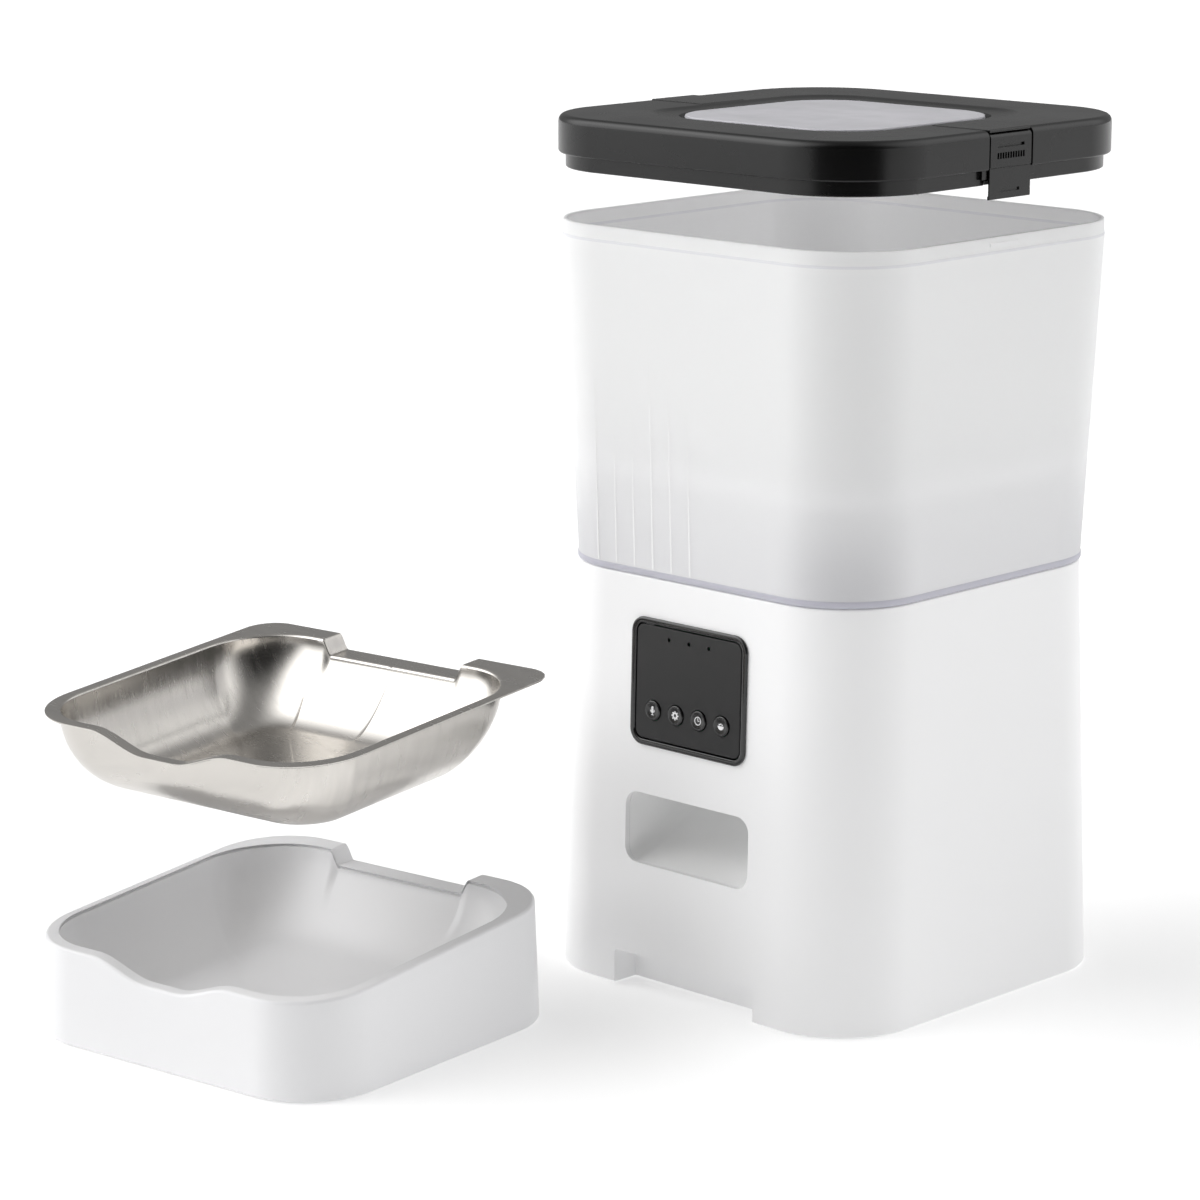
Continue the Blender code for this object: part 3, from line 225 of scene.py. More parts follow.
class Look:
    """A Principled material whose colour, roughness and relief vary by small procedural steps."""

    def __init__(self, name, colour, roughness, metallic=0.0):
        self.material = bpy.data.materials.new(name)
        self.material.use_nodes = True
        self.tree = self.material.node_tree
        self.shader = self.tree.nodes["Principled BSDF"]
        self.set(metallic, "Metallic")
        self.colour, self.roughness = colour, roughness
        self.place = self.tree.nodes.new("ShaderNodeTexCoord").outputs["Object"]
        self.shader.inputs["Base Color"].default_value = (*colour, 1)
        self.shader.inputs["Roughness"].default_value = roughness
        self.normal = None

    def set(self, value, socket):
        self.shader.inputs[socket].default_value = value
        return self

    def noise(self, scale, detail=3.0, stretch=None):
        texture = self.tree.nodes.new("ShaderNodeTexNoise")
        texture.inputs["Scale"].default_value = scale
        texture.inputs["Detail"].default_value = detail
        source = self.place
        if stretch:
            mapping = self.tree.nodes.new("ShaderNodeMapping")
            mapping.inputs["Scale"].default_value = stretch
            self.tree.links.new(self.place, mapping.inputs["Vector"])
            source = mapping.outputs["Vector"]
        self.tree.links.new(source, texture.inputs["Vector"])
        return texture.outputs["Fac"]

    def ramp(self, source, stops):
        """Maps a grey value to colours, or to greys for roughness, given as (place, colour) stops."""
        ramp = self.tree.nodes.new("ShaderNodeValToRGB")
        elements = ramp.color_ramp.elements
        while len(elements) < len(stops):
            elements.new(0.5)
        for element, (place, colour) in zip(elements, stops):
            element.position = place
            element.color = (*colour, 1)
        self.tree.links.new(source, ramp.inputs["Fac"])
        return ramp.outputs["Color"]

    def vary_colour(self, scale, amount, stretch=None, detail=2.0):
        low = [channel * (1 - amount) for channel in self.colour]
        high = [min(channel * (1 + amount), 1.0) for channel in self.colour]
        colour = self.ramp(self.noise(scale, detail, stretch), ((0.25, low), (0.75, high)))
        self.tree.links.new(colour, self.shader.inputs["Base Color"])
        return self

    def vary_roughness(self, scale, amount, stretch=None):
        low, high = self.roughness - amount, self.roughness + amount
        grey = self.ramp(self.noise(scale, 3, stretch), ((0.25, [low] * 3), (0.75, [high] * 3)))
        self.tree.links.new(grey, self.shader.inputs["Roughness"])
        return self

    def relief(self, scale, strength, depth=0.0001, stretch=None, detail=2.0):
        bump = self.tree.nodes.new("ShaderNodeBump")
        bump.inputs["Strength"].default_value = strength
        bump.inputs["Distance"].default_value = depth
        self.tree.links.new(self.noise(scale, detail, stretch), bump.inputs["Height"])
        if self.normal is not None:
            self.tree.links.new(self.normal, bump.inputs["Normal"])
        self.normal = bump.outputs["Normal"]
        self.tree.links.new(self.normal, self.shader.inputs["Normal"])
        return self

    def math(self, operation, *values):
        step = self.tree.nodes.new("ShaderNodeMath")
        step.operation = operation
        for socket, value in zip(step.inputs, values):
            if isinstance(value, (int, float)):
                socket.default_value = value
            else:
                self.tree.links.new(value, socket)
        return step.outputs[0]

    def span(self, source, low, high, smooth=True):
        """0 below one value and 1 above the other, with a soft step between."""
        step = self.tree.nodes.new("ShaderNodeMapRange")
        step.interpolation_type = "SMOOTHSTEP" if smooth else "LINEAR"
        step.inputs["From Min"].default_value = low
        step.inputs["From Max"].default_value = high
        self.tree.links.new(source, step.inputs["Value"])
        return step.outputs["Result"]

    def axes(self):
        split = self.tree.nodes.new("ShaderNodeSeparateXYZ")
        self.tree.links.new(self.place, split.inputs["Vector"])
        return split.outputs

    def tint(self, amount, colour):
        """Mixes a second colour over the base colour where the amount is 1."""
        mix = self.tree.nodes.new("ShaderNodeMix")
        mix.data_type = "RGBA"
        socket = self.shader.inputs["Base Color"]
        self.tree.links.new(amount, mix.inputs["Factor"])
        self.tree.links.new(socket.links[0].from_socket, mix.inputs["A"])
        mix.inputs["B"].default_value = (*colour, 1)
        self.tree.links.new(mix.outputs["Result"], socket)
        return self


def plastic(name, colour, roughness, grain=0.10, coat=0.0, glow=0.0, specular=0.5):
    """Moulded plastic with a fine grain; a little glow stands in for light scattered inside white plastic."""
    look = Look(name, colour, roughness).vary_colour(14, 0.006).vary_roughness(30, 0.025)
    look.relief(2400, grain, 0.00004)
    look.set((1.0, 1.0, 1.0, 1.0), "Emission Color").set(glow, "Emission Strength")
    look.set(specular, "Specular IOR Level")
    return look.set(coat, "Coat Weight").set(0.12, "Coat Roughness").material


def metal(name, colour, roughness, stretch, strength=0.12):
    look = Look(name, colour, roughness, 1.0).vary_colour(40, 0.04, stretch)
    return look.vary_roughness(90, 0.04, stretch).relief(900, strength, 0.00002, stretch).material


# The housing's white carries a little glow, painted light that brightens it.
white = plastic("white_plastic", (0.905, 0.905, 0.910), 0.34, 0.08, glow=0.04)
tray_white = plastic("tray_plastic", (0.86, 0.86, 0.87), 0.30, 0.05)
grey = plastic("grey_plastic", (0.40, 0.41, 0.43), 0.46)
black = plastic("black_plastic", (0.0030, 0.0030, 0.0031), 0.27, 0.30, specular=0.42)
panel_black = plastic("panel_black", (0.006, 0.006, 0.0065), 0.42, 0.25)
gloss_black = plastic("gloss_black", (0.004, 0.004, 0.0045), 0.16, 0.02, 0.4)
ink = plastic("icon_white", (0.86, 0.86, 0.87), 0.50, 0.05)
rubber = plastic("rubber", (0.11, 0.11, 0.115), 0.82, 0.6)
green = plastic("paddle_green", (0.17, 0.47, 0.31), 0.58, 0.2)
jacket = plastic("cell_jacket", (0.07, 0.12, 0.24), 0.32)
paper = plastic("paper", (0.84, 0.83, 0.79), 0.85, 0.7)
board = plastic("circuit_board", (0.015, 0.16, 0.07), 0.42, 0.2)
steel = metal("steel", (0.66, 0.635, 0.60), 0.25, (1.0, 6.0, 1.0))
screw_steel = metal("screw_steel", (0.55, 0.55, 0.56), 0.32, (1.0, 1.0, 6.0))
brass = metal("brass", (0.70, 0.53, 0.27), 0.30, (1.0, 1.0, 8.0))


def make_hopper_plastic():
    """Milky plastic: a lilac cast and painted shade towards the bottom and in its lower corners, a lighter
    band at the top with a painted groove shade below it, a dense edge, and a little painted glow.
    """
    look = Look("hopper_plastic", (0.93, 0.93, 0.938), 0.42).vary_colour(9, 0.008).vary_roughness(30, 0.03)
    look.relief(2000, 0.10, 0.00004)
    x, y, z = look.axes()
    # A lilac cast with painted shade: darker and more lilac towards the bottom.
    low = look.math("SUBTRACT", 1.0, look.span(z, hopper_low.z, 0.275))
    look.tint(look.math("MULTIPLY", low, 0.55), (0.77, 0.765, 0.80))
    # Painted shade: darker in the four lower corners, below the funnel, where the funnel's shade falls.
    reach = look.math("MULTIPLY", look.math("ABSOLUTE", x), look.math("ABSOLUTE", y))
    corner = look.span(reach, 0.0040, 0.0070)
    under = look.math("SUBTRACT", 1.0, look.span(z, 0.190, 0.236))
    look.tint(look.math("MULTIPLY", look.math("MULTIPLY", corner, under), 0.62), (0.42, 0.42, 0.44))
    rim = look.span(z, HOPPER_BAND - 0.0002, HOPPER_BAND + 0.0002)
    look.tint(look.math("MULTIPLY", rim, 0.7), (0.955, 0.955, 0.962))
    # Painted shade: a darker line just below the band line, the shade of a groove that is not modelled.
    groove = look.math("SUBTRACT", look.span(z, HOPPER_BAND - 0.0014, HOPPER_BAND - 0.0010), rim)
    look.tint(look.math("MULTIPLY", groove, 0.6), (0.70, 0.70, 0.75))
    flange = look.math("SUBTRACT", 1.0, look.span(z, base_high.z + 0.0031, base_high.z + 0.0035))
    look.tint(look.math("MULTIPLY", flange, 0.85), (0.44, 0.435, 0.52))
    look.set(0.6, "Subsurface Weight").set((1.0, 0.98, 1.0), "Subsurface Radius")
    look.set(0.014, "Subsurface Scale")
    # A little glow: painted light that brightens the milky plastic inside and out.
    look.set((1.0, 1.0, 1.0, 1), "Emission Color").set(0.055, "Emission Strength")
    return look.set(0.10, "Transmission Weight").set(1.3, "IOR").material


def make_window_plastic():
    """The lid's frosted window."""
    look = Look("window_plastic", (0.82, 0.81, 0.86), 0.22).vary_colour(22, 0.06).vary_roughness(50, 0.04)
    return look.relief(60, 0.05, 0.0003).set(0.08, "Transmission Weight").material


def make_chute_plastic():
    """The chute's white, with painted light: a colour a little lighter than the housing's and a little glow
    make up for the chute being lit only through its mouth.
    """
    look = Look("chute_plastic", (0.93, 0.93, 0.93), 0.40).vary_colour(14, 0.006)
    look.relief(2400, 0.08, 0.00004)
    # A little glow: painted light that lifts the shade inside the chute.
    return look.set((1.0, 1.0, 1.0, 1), "Emission Color").set(0.04, "Emission Strength").material


chute_white = make_chute_plastic()
rib_white = plastic("rib_plastic", (0.965, 0.965, 0.97), 0.35)
hopper_clear = make_hopper_plastic()
window_clear = make_window_plastic()


# ---------------------------------------------------------------- base

def base_half(z):
    """Half the base's width at a height: its walls lean in towards the top."""
    return base_high.x + (BASE_TOP_WIDTH / 2 - base_high.x) * z / base_high.z


def front_space(z):
    """The space whose Z points out of the sloping front wall at a height."""
    return Matrix.Translation((0, -base_half(z), z)) @ Matrix.Rotation(math.pi / 2 - TILT, 4, "X")


def front_cut(width, tall, radius, z, near=0.012, far=-0.012):
    shape = loft([flat_ring(width, radius, depth, tall, 10) for depth in (far, near)])
    shape.transform(front_space(z))
    return shape


def make_base():
    low, high, wall, deck = base_low.z, base_high.z, BASE_WALL, base_high.z - 0.003

    def ring(z, inset=0.0):
        return flat_ring(2 * (base_half(z) - inset), BASE_RADIUS - inset, z)

    rings = [ring(low, 0.0006), ring(low + 0.0006), ring(high - 0.0009)]
    for angle in (0.5, 1.0, 1.57):
        rings.append(ring(high - 0.0009 + 0.0009 * math.sin(angle), 0.0009 * (1 - math.cos(angle))))
    rings += [round_ring(TUB_HOLE, high), round_ring(TUB_HOLE, deck)]
    rings += [ring(deck, wall), ring(low, wall)]
    pocket = -base_high.x + NOTCH_DEPTH
    half = NOTCH_WIDTH / 2
    cuts = [
        front_cut(CHUTE_WIDTH, CHUTE_TALL, CHUTE_RADIUS, CHUTE_Z),
        front_cut(PANEL_WIDTH - 0.0042, PANEL_TALL - 0.0042, PANEL_RADIUS - 0.002, PANEL_Z),
    ]
    notch = loft([[(x, y, z) for x, z in notch_outline(half)] for y in (-0.11, pocket)])
    cuts.append(notch)
    inlet_low, inlet_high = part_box("dc_inlet")
    inlet = ((inlet_low.x + inlet_high.x) / 2, (inlet_low.z + inlet_high.z) / 2)
    cuts.append(rod(0.0045, 0.08, 0.1, inlet, "Y", 40))
    speaker_low, speaker_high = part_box("speaker")
    middle = ((speaker_low.x + speaker_high.x) / 2, (speaker_low.z + speaker_high.z) / 2)
    for step in range(-3, 4):
        tall = 0.030 - 0.003 * abs(step)
        x, z = middle[0] + 0.005 * step, middle[1]
        outline = rounded(0.002, tall, 0.00098, 5)
        cuts.append(loft([[(px + x, y, pz + z) for px, pz in outline] for y in (0.08, 0.1)]))
    pocket_wall = span_box(
        (-half - wall, -base_high.x + 0.0016, low),
        (half + wall, pocket + wall, NOTCH_HEIGHT + wall),
    )
    piece(
        "base_skin",
        loft(rings, closed=True),
        white,
        "base_unit",
        ["base_shell"],
        cuts,
        [pocket_wall],
        edge=0.0007,
    )


def notch_outline(half):
    """The arch of the notch at the front: square below, with small rounded top corners."""
    radius = 0.0016
    top = NOTCH_HEIGHT - radius
    points = [(half, -0.01)] + list(arc(half - radius, top, radius, 0, 90, 6))
    return points + list(arc(-half + radius, top, radius, 90, 90, 6)) + [(-half, -0.01)]


def make_chute():
    low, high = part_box("food_chute")
    outlet = front_space(CHUTE_Z)
    out_up = outlet.to_3x3() @ Vector((0, 1, 0))
    out_middle = outlet @ Vector((0, 0, -BASE_WALL - GAP))
    stations = [
        (Vector((0, -0.0385, high.z)), Vector((0, -1, 0)), 0.052, 0.031),
        (Vector((0, -0.0485, 0.112)), Vector((0, -0.80, 0.60)), 0.062, 0.033),
        (Vector((0, -0.0715, 0.086)), Vector((0, -0.45, 0.89)), CHUTE_WIDTH - 0.004, 0.0335),
        (out_middle, out_up, CHUTE_WIDTH, CHUTE_TALL),
    ]

    def section(share):
        """A smooth blend of the four stations: a Catmull-Rom curve through them."""
        place = share * (len(stations) - 1)
        index = min(int(place), len(stations) - 2)
        t = place - index
        picks = [stations[min(max(index + k, 0), len(stations) - 1)] for k in (-1, 0, 1, 2)]
        weights = (
            -0.5 * t + t * t - 0.5 * t**3,
            1 - 2.5 * t * t + 1.5 * t**3,
            0.5 * t + 2 * t * t - 1.5 * t**3,
            -0.5 * t * t + 0.5 * t**3,
        )
        mix = [sum((pick[k] * w for pick, w in zip(picks, weights)), picks[0][k] * 0) for k in range(4)]
        return mix[0], mix[1].normalized(), mix[2], mix[3]

    def ring(share, grow):
        centre, up, width, tall = section(share)
        return [
            centre + Vector((x, 0, 0)) + up * v
            for x, v in rounded(width + 2 * grow, tall + 2 * grow, CHUTE_RADIUS + grow, 8)
        ]

    shares = [k / 18 for k in range(19)]
    rings = [ring(share, 0.002) for share in shares] + [ring(share, 0.0) for share in shares[::-1]]
    piece(
        "chute_duct",
        loft(rings, closed=True),
        chute_white,
        "base_unit",
        ["food_chute"],
        bend=50,
    )


def make_panel():
    space = front_space(PANEL_Z)
    lip = BEZEL_LIP

    def ring(inset, z):
        radius = max(PANEL_RADIUS - inset, 0.001)
        return flat_ring(PANEL_WIDTH - 2 * inset, radius, z, PANEL_TALL - 2 * inset, 10)

    profile = [(0.0, GAP), (0.0, 0.0006), (0.0001, 0.0010), (0.0005, 0.00125), (0.0010, BEZEL_PROUD)]
    profile += [(lip - 0.0008, BEZEL_PROUD), (lip - 0.0003, 0.0012), (lip, 0.0009), (lip + 0.0004, -0.0003)]
    profile += [(lip + 0.001, -0.0014), (lip + 0.001, -0.0035), (SPIGOT_INSET, -0.0035), (SPIGOT_INSET, GAP)]
    piece(
        "panel_border",
        loft([ring(*point) for point in profile], closed=True),
        gloss_black,
        "base_unit",
        ["panel_bezel"],
        place=space,
        bend=50,
    )
    inset = lip + 0.0006
    places = [(k - 1.5) * BUTTON_PITCH for k in range(4)]
    cuts = [rod(BUTTON_RADIUS + 0.0004, -0.01, 0.01, (x, BUTTON_ROW), count=48) for x in places]
    cuts += [rod(PINHOLE_RADIUS, -0.01, 0.01, (k * PINHOLE_PITCH, PINHOLE_ROW), count=24) for k in (-1, 0, 1)]
    piece(
        "panel_plate",
        loft([ring(inset, 0.0), ring(inset, 0.0006), ring(inset + 0.0003, 0.0009)]),
        panel_black,
        "base_unit",
        ["panel_face"],
        cuts,
        edge=0.00025,
        place=space,
    )
    names = ("talk_button", "settings_button", "mode_button", "feed_button")
    icons = (microphone_icon, gear_icon, clock_icon, bowl_icon)
    r = BUTTON_RADIUS
    profile = [(0, 0.00118), (r * 0.35, 0.00122), (r * 0.62, 0.00136), (r - 0.0007, 0.0016)]
    profile += [(r - 0.00035, 0.00156), (r - 0.0001, 0.0014), (r, 0.0011), (r, -0.0018)]
    profile += [(0.0018, -0.0018), (0.0018, -0.0040), (0, -0.0040)]
    for name, icon, x in zip(names, icons, places):
        at = space @ Matrix.Translation((x, BUTTON_ROW, 0))
        cap = f"{name}_cap"
        piece(cap, turned(profile), gloss_black, cap, [name], place=at, bend=50)
        for number, shape in enumerate(icon(), start=1):
            piece(f"{name}_icon_{number}", shape, ink, cap, place=at)


ICON_LOW, ICON_HIGH = 0.00105, 0.00148


def plate(points):
    return loft([[(x, y, z) for x, y in points] for z in (ICON_LOW, ICON_HIGH)])


def holed_plate(outer, inner):
    """A plate between two outlines with the same number of points."""
    sides = ((outer, ICON_LOW), (outer, ICON_HIGH), (inner, ICON_HIGH), (inner, ICON_LOW))
    return loft([[(x, y, z) for x, y in side] for side, z in sides], closed=True)


def ring_plate(outer, inner, start=0.0, sweep=360.0, centre=(0.0, 0.0)):
    """A flat band along an arc."""
    steps = 32
    out = list(arc(*centre, outer, start, sweep, steps))
    back = list(arc(*centre, inner, start + sweep, -sweep, steps))
    if sweep == 360.0:
        return holed_plate(out[:-1], back[::-1][:-1])
    return plate(out + back)


def bar(x0, y0, x1, y1):
    return plate([(x0, y0), (x1, y0), (x1, y1), (x0, y1)])


def microphone_icon():
    capsule = [(x, y + 0.0006) for x, y in rounded(0.0012, 0.0026, 0.00055, 8)]
    cradle = ring_plate(0.00125, 0.00095, 180, 180, (0, 0.0002))
    stem = bar(-0.00015, -0.0017, 0.00015, -0.0010)
    foot = bar(-0.0007, -0.0020, 0.0007, -0.0017)
    return [plate(capsule), cradle, stem, foot]


def gear_icon():
    points = []
    for tooth in range(8):
        for share, radius in ((-0.30, 0.00145), (-0.18, 0.0020), (0.18, 0.0020), (0.30, 0.00145)):
            angle = 2 * math.pi * (tooth + share) / 8
            points.append((radius * math.cos(angle), radius * math.sin(angle)))
    hub = list(arc(0, 0, 0.0008, 0, 360, len(points)))[:-1]
    return [holed_plate(points, hub)]


def clock_icon():
    long_hand = bar(-0.00015, -0.0001, 0.00015, 0.0012)
    short_hand = bar(-0.00015, -0.0001, 0.0009, 0.0002)
    return [ring_plate(0.0019, 0.00155), long_hand, short_hand]


def bowl_icon():
    dish = plate(list(arc(0, 0.0001, 0.0017, 180, 180, 16)))
    places = ((-0.0008, 0.0007), (0, 0.0010), (0.0008, 0.0007))
    kibble = [plate(list(arc(x, y, 0.00032, 0, 360, 12))[:-1]) for x, y in places]
    return [dish] + kibble


# ---------------------------------------------------------------- hopper

def make_hopper():
    top = hopper_high.z
    start = base_high.z + GAP
    flange = start + 0.0029
    wall = HOPPER_WALL
    neck = NECK_RADIUS - 0.0022

    def half(z):
        return HOPPER_LOW_WIDTH / 2 + (0.095 - HOPPER_LOW_WIDTH / 2) * (z - start) / (HOPPER_BAND - start)

    def ring(z, inset=0.0):
        return flat_ring(2 * (half(z) - inset), HOPPER_RADIUS - inset, z)

    rim = half(top) - 0.0946
    rings = [ring(start, 0.0002), ring(start + 0.0005, -0.0004)]
    rings += [ring(flange - 0.0005, -0.0004), ring(flange, -0.0002), ring(flange + 0.0004)]
    rings += [ring(HOPPER_BAND - 0.0005), ring(HOPPER_BAND, 0.0001), ring(HOPPER_BAND + 0.0003, 0.0004)]
    rings += [ring(top - 0.0008, rim), ring(top - 0.0002, rim + 0.0002), ring(top, rim + 0.0008)]
    rings += [ring(top, rim + wall - 0.0014), ring(top - 0.0003, rim + wall - 0.0009)]
    rings += [ring(top - 0.0010, rim + wall - 0.0008), ring(FUNNEL_TOP + 0.004, wall)]
    rings += [ring(FUNNEL_TOP, wall + 0.0008), ring(FUNNEL_TOP - 0.003, wall + 0.0035)]
    rings += [round_ring(neck + 0.006, 0.1985), round_ring(neck + 0.0015, 0.1945), round_ring(neck, 0.1915)]
    rings += [round_ring(neck, hopper_low.z), round_ring(NECK_RADIUS, hopper_low.z)]
    rings += [round_ring(NECK_RADIUS, 0.1900)]
    rings += [round_ring(NECK_RADIUS + 0.0040, 0.1950), ring(FUNNEL_TOP - 0.0060, wall + 0.003)]
    rings += [ring(FUNNEL_TOP - 0.0075, wall), ring(start, wall)]
    for number, tall in enumerate(RIB_HEIGHTS):
        x = -0.0555 + number * RIB_PITCH
        low, high = start + 0.0034, flange + tall
        rows = []
        for share in (0.0, 0.35, 0.7, 1.0):
            z = low + (high - low) * share
            wide, proud = 0.00042 * (1 - 0.75 * share), 0.00010 * (1 - 0.8 * share)
            y = -half(z)
            rows.append([(x - wide, y + 0.001, z), (x - wide, y - 0.2 * proud, z), (x, y - proud, z)])
            rows[-1] += [(x + wide, y - 0.2 * proud, z), (x + wide, y + 0.001, z)]
        piece(f"hopper_rib_{number + 1}", loft(rows), rib_white, "hopper")
    joins = []
    lug_z = HOPPER_BAND + 0.0019
    for side in (-1, 1):
        xs = sorted((side * (0.095 - 0.0015), side * 0.0951))
        joins.append(span_box((xs[0], -0.0095, lug_z), (xs[1], 0.0095, lug_z + 0.0016)))
    piece(
        "hopper_tank",
        loft(rings, closed=True),
        hopper_clear,
        "hopper",
        ["hopper_shell"],
        (),
        joins,
        bend=50,
    )


# ---------------------------------------------------------------- lid

def make_lid():
    low, high = lid_low.z, lid_high.z
    width = lid_high.x - lid_low.x
    edge = low + 0.0065
    window_low, window_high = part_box("lid_window")
    window_width = window_high.x - window_low.x
    under, seat = high - 0.0030, high - 0.0056
    ring = flat_ring
    skirt = LID_RADIUS - 0.0025
    inner, groove_out, groove_in, groove_top = 0.179, 0.1872, 0.1818, low + 0.0019
    rings = [ring(SKIRT_WIDTH - 0.0006, skirt, low), ring(SKIRT_WIDTH, skirt, low + 0.0004)]
    rings += [ring(SKIRT_WIDTH, skirt, edge)]
    rings += [ring(width - 0.0012, LID_RADIUS - 0.0006, edge)]
    rings += [ring(width - 0.0003, LID_RADIUS, edge + 0.0003)]
    rings += [ring(width, LID_RADIUS, edge + 0.0009), ring(width, LID_RADIUS, high - 0.0032)]
    for angle in (20, 40, 60, 80, 90):
        c, s = math.cos(math.radians(angle)), math.sin(math.radians(angle))
        radius = LID_RADIUS - 0.0032 * (1 - c)
        rings.append(ring(width - 0.0064 * (1 - c), radius, high - 0.0032 + 0.0032 * s))
    rings += [
        ring(DISH_WIDTH + 0.002, DISH_RADIUS + 0.001, high),
        ring(DISH_WIDTH, DISH_RADIUS, high - 0.0002),
        ring(DISH_WIDTH - 0.004, DISH_RADIUS - 0.001, high - 0.0008),
        ring(DISH_WIDTH - 0.008, DISH_RADIUS - 0.001, high - 0.0011),
        ring(window_width + 0.0044, WINDOW_RADIUS + 0.0010, high - 0.0013),
        ring(window_width + 0.0036, WINDOW_RADIUS + 0.0009, high - 0.0030),
        ring(window_width + 0.0016, WINDOW_RADIUS, high - 0.0034),
        ring(window_width + 0.0016, WINDOW_RADIUS, seat),
        ring(window_width + 0.012, WINDOW_RADIUS + 0.004, seat),
        ring(window_width + 0.013, WINDOW_RADIUS + 0.004, under),
        ring(inner, LID_RADIUS - 0.0075, under),
        ring(inner, LID_RADIUS - 0.0075, low),
        ring(groove_in, LID_RADIUS - 0.0061, low),
        ring(groove_in, LID_RADIUS - 0.0061, groove_top),
        ring(groove_out, LID_RADIUS - 0.0034, groove_top),
        ring(groove_out, LID_RADIUS - 0.0034, low),
    ]
    cuts, joins = [], []
    for side in (-1, 1):
        half = 0.0136
        pocket = half + 0.0009
        back = LATCH_PIVOT_X - 0.0027

        def sided(a, b):
            xs = sorted((side * a[0], side * b[0]))
            return span_box((xs[0], a[1], a[2]), (xs[1], b[1], b[2]))

        block_low = (back - 0.002, -pocket - 0.003, low + 0.0026)
        joins.append(sided(block_low, (LATCH_PIVOT_X + 0.001, pocket + 0.003, high - 0.0012)))
        cuts.append(sided((back, -pocket, low - 0.01), (0.11, pocket, high + 0.01)))
        inlay_low = (0.0655 - 0.0004, -half - 0.0004, high - 0.0013)
        cuts.append(sided(inlay_low, (0.11, half + 0.0004, high + 0.01)))
    piece(
        "lid_shell",
        loft(rings, closed=True),
        black,
        "lid",
        ["lid_frame"],
        cuts,
        joins,
        edge=0.00035,
    )
    top = window_high.z
    piece(
        "lid_pane",
        loft(
            [
                ring(window_width, WINDOW_RADIUS - GAP, window_low.z),
                ring(window_width, WINDOW_RADIUS - GAP, top - 0.0007),
                ring(window_width - 0.0004, WINDOW_RADIUS - GAP, top - 0.0002),
                ring(window_width - 0.0014, WINDOW_RADIUS - GAP, top),
            ]
        ),
        window_clear,
        "lid",
        ["lid_window"],
    )
    for name, side, body in (("right", 1, "latch_r"), ("left", -1, "latch_l")):
        make_latch(name, side, body, low, high)


def make_latch(name, side, body, low, high):
    """The inlaid plate on the lid's top, and the swinging flap with its slit, grip ribs and hook."""
    half = 0.0136
    plate_low, plate_high = high - 0.0010, high + 0.0003
    outer = lid_high.x - 0.0001
    pivot_z = high - 0.0036
    knuckle = 0.0023
    edge = low + 0.0065

    def mirror(points):
        return [(side * x, z) for x, z in points]

    top_plate = [(0.0655, plate_low), (outer - 0.0007, plate_low), (outer - 0.0007, plate_high - 0.0004)]
    top_plate += [(outer - 0.0011, plate_high), (0.0659, plate_high), (0.0655, plate_high - 0.0003)]
    piece(
        f"latch_cover_{name}",
        loft([[(x, y, z) for x, z in mirror(top_plate)] for y in (-half, half)]),
        black,
        "lid",
        [f"latch_plate_{name}"],
        edge=0.0002,
    )
    hook = low - 0.0060
    flap = [(LATCH_PIVOT_X + x, pivot_z + z) for x, z in arc(0, 0, knuckle, 180, -180, 16)]
    flap += [(outer, edge + 0.0006), (outer - 0.0003, edge + 0.0004), (outer - 0.0003, hook + 0.0003)]
    flap += [(outer - 0.0006, hook), (LATCH_PIVOT_X + 0.0008, hook), (LATCH_PIVOT_X + 0.0008, hook + 0.0014)]
    flap += [(LATCH_PIVOT_X + 0.0012, hook + 0.0016), (LATCH_PIVOT_X + 0.0012, edge)]
    flap += [(LATCH_PIVOT_X - 0.0004, edge + 0.0015), (LATCH_PIVOT_X - 0.0004, pivot_z - 0.0030)]
    flap += [(LATCH_PIVOT_X - knuckle, pivot_z - 0.0016)]
    cuts = [rod(0.0012, -0.03, 0.03, (side * LATCH_PIVOT_X, pivot_z), "Y", 24)]

    def groove(z, tall, deep, reach, base=outer):
        xs = sorted((side * (base - deep), side * (base + 0.01)))
        return span_box((xs[0], -reach, z - tall / 2), (xs[1], reach, z + tall / 2))

    def groove_at(z, tall, deep, y, wide):
        xs = sorted((side * (outer - deep), side * (outer + 0.01)))
        return span_box((xs[0], y - wide, z - tall / 2), (xs[1], y + wide, z + tall / 2))

    cuts.append(groove(edge + 0.0098, 0.0013, 0.0009, 0.0088))
    cuts += [groove_at(edge + 0.0056, 0.0026, 0.0009, 0.0017 * k, 0.00055) for k in range(-5, 6)]
    cuts.append(groove(edge + 0.0007, 0.0004, 0.0005, 0.0200))
    cuts.append(groove(low - 0.0024, 0.0013, 0.0006, 0.0062, outer - 0.0003))
    piece(
        f"latch_flap_{name}",
        loft([[(x, y, z) for x, z in mirror(flap)] for y in (-half, half)]),
        black,
        body,
        [f"latch_{name}"],
        cuts,
        edge=0.00025,
    )


# ---------------------------------------------------------------- tray and bowl

def smooth(value):
    value = min(max(value, 0.0), 1.0)
    return value * value * (3 - 2 * value)


RAMP_START, RAMP_LENGTH, RAMP_HEIGHT = -0.012, 0.092, 0.034
EDGE_STOPS = [EDGE_REACH - 0.0002 * k for k in range(48)] + [0.0330 - 0.0022 * k for k in range(16)]


def floor_rise(y):
    """The height the basin's floor gains towards the back, along a quarter ellipse."""
    along = min(max((y - RAMP_START) / RAMP_LENGTH, 0.0), 0.97)
    return RAMP_HEIGHT * (1 - math.sqrt(1 - along * along))


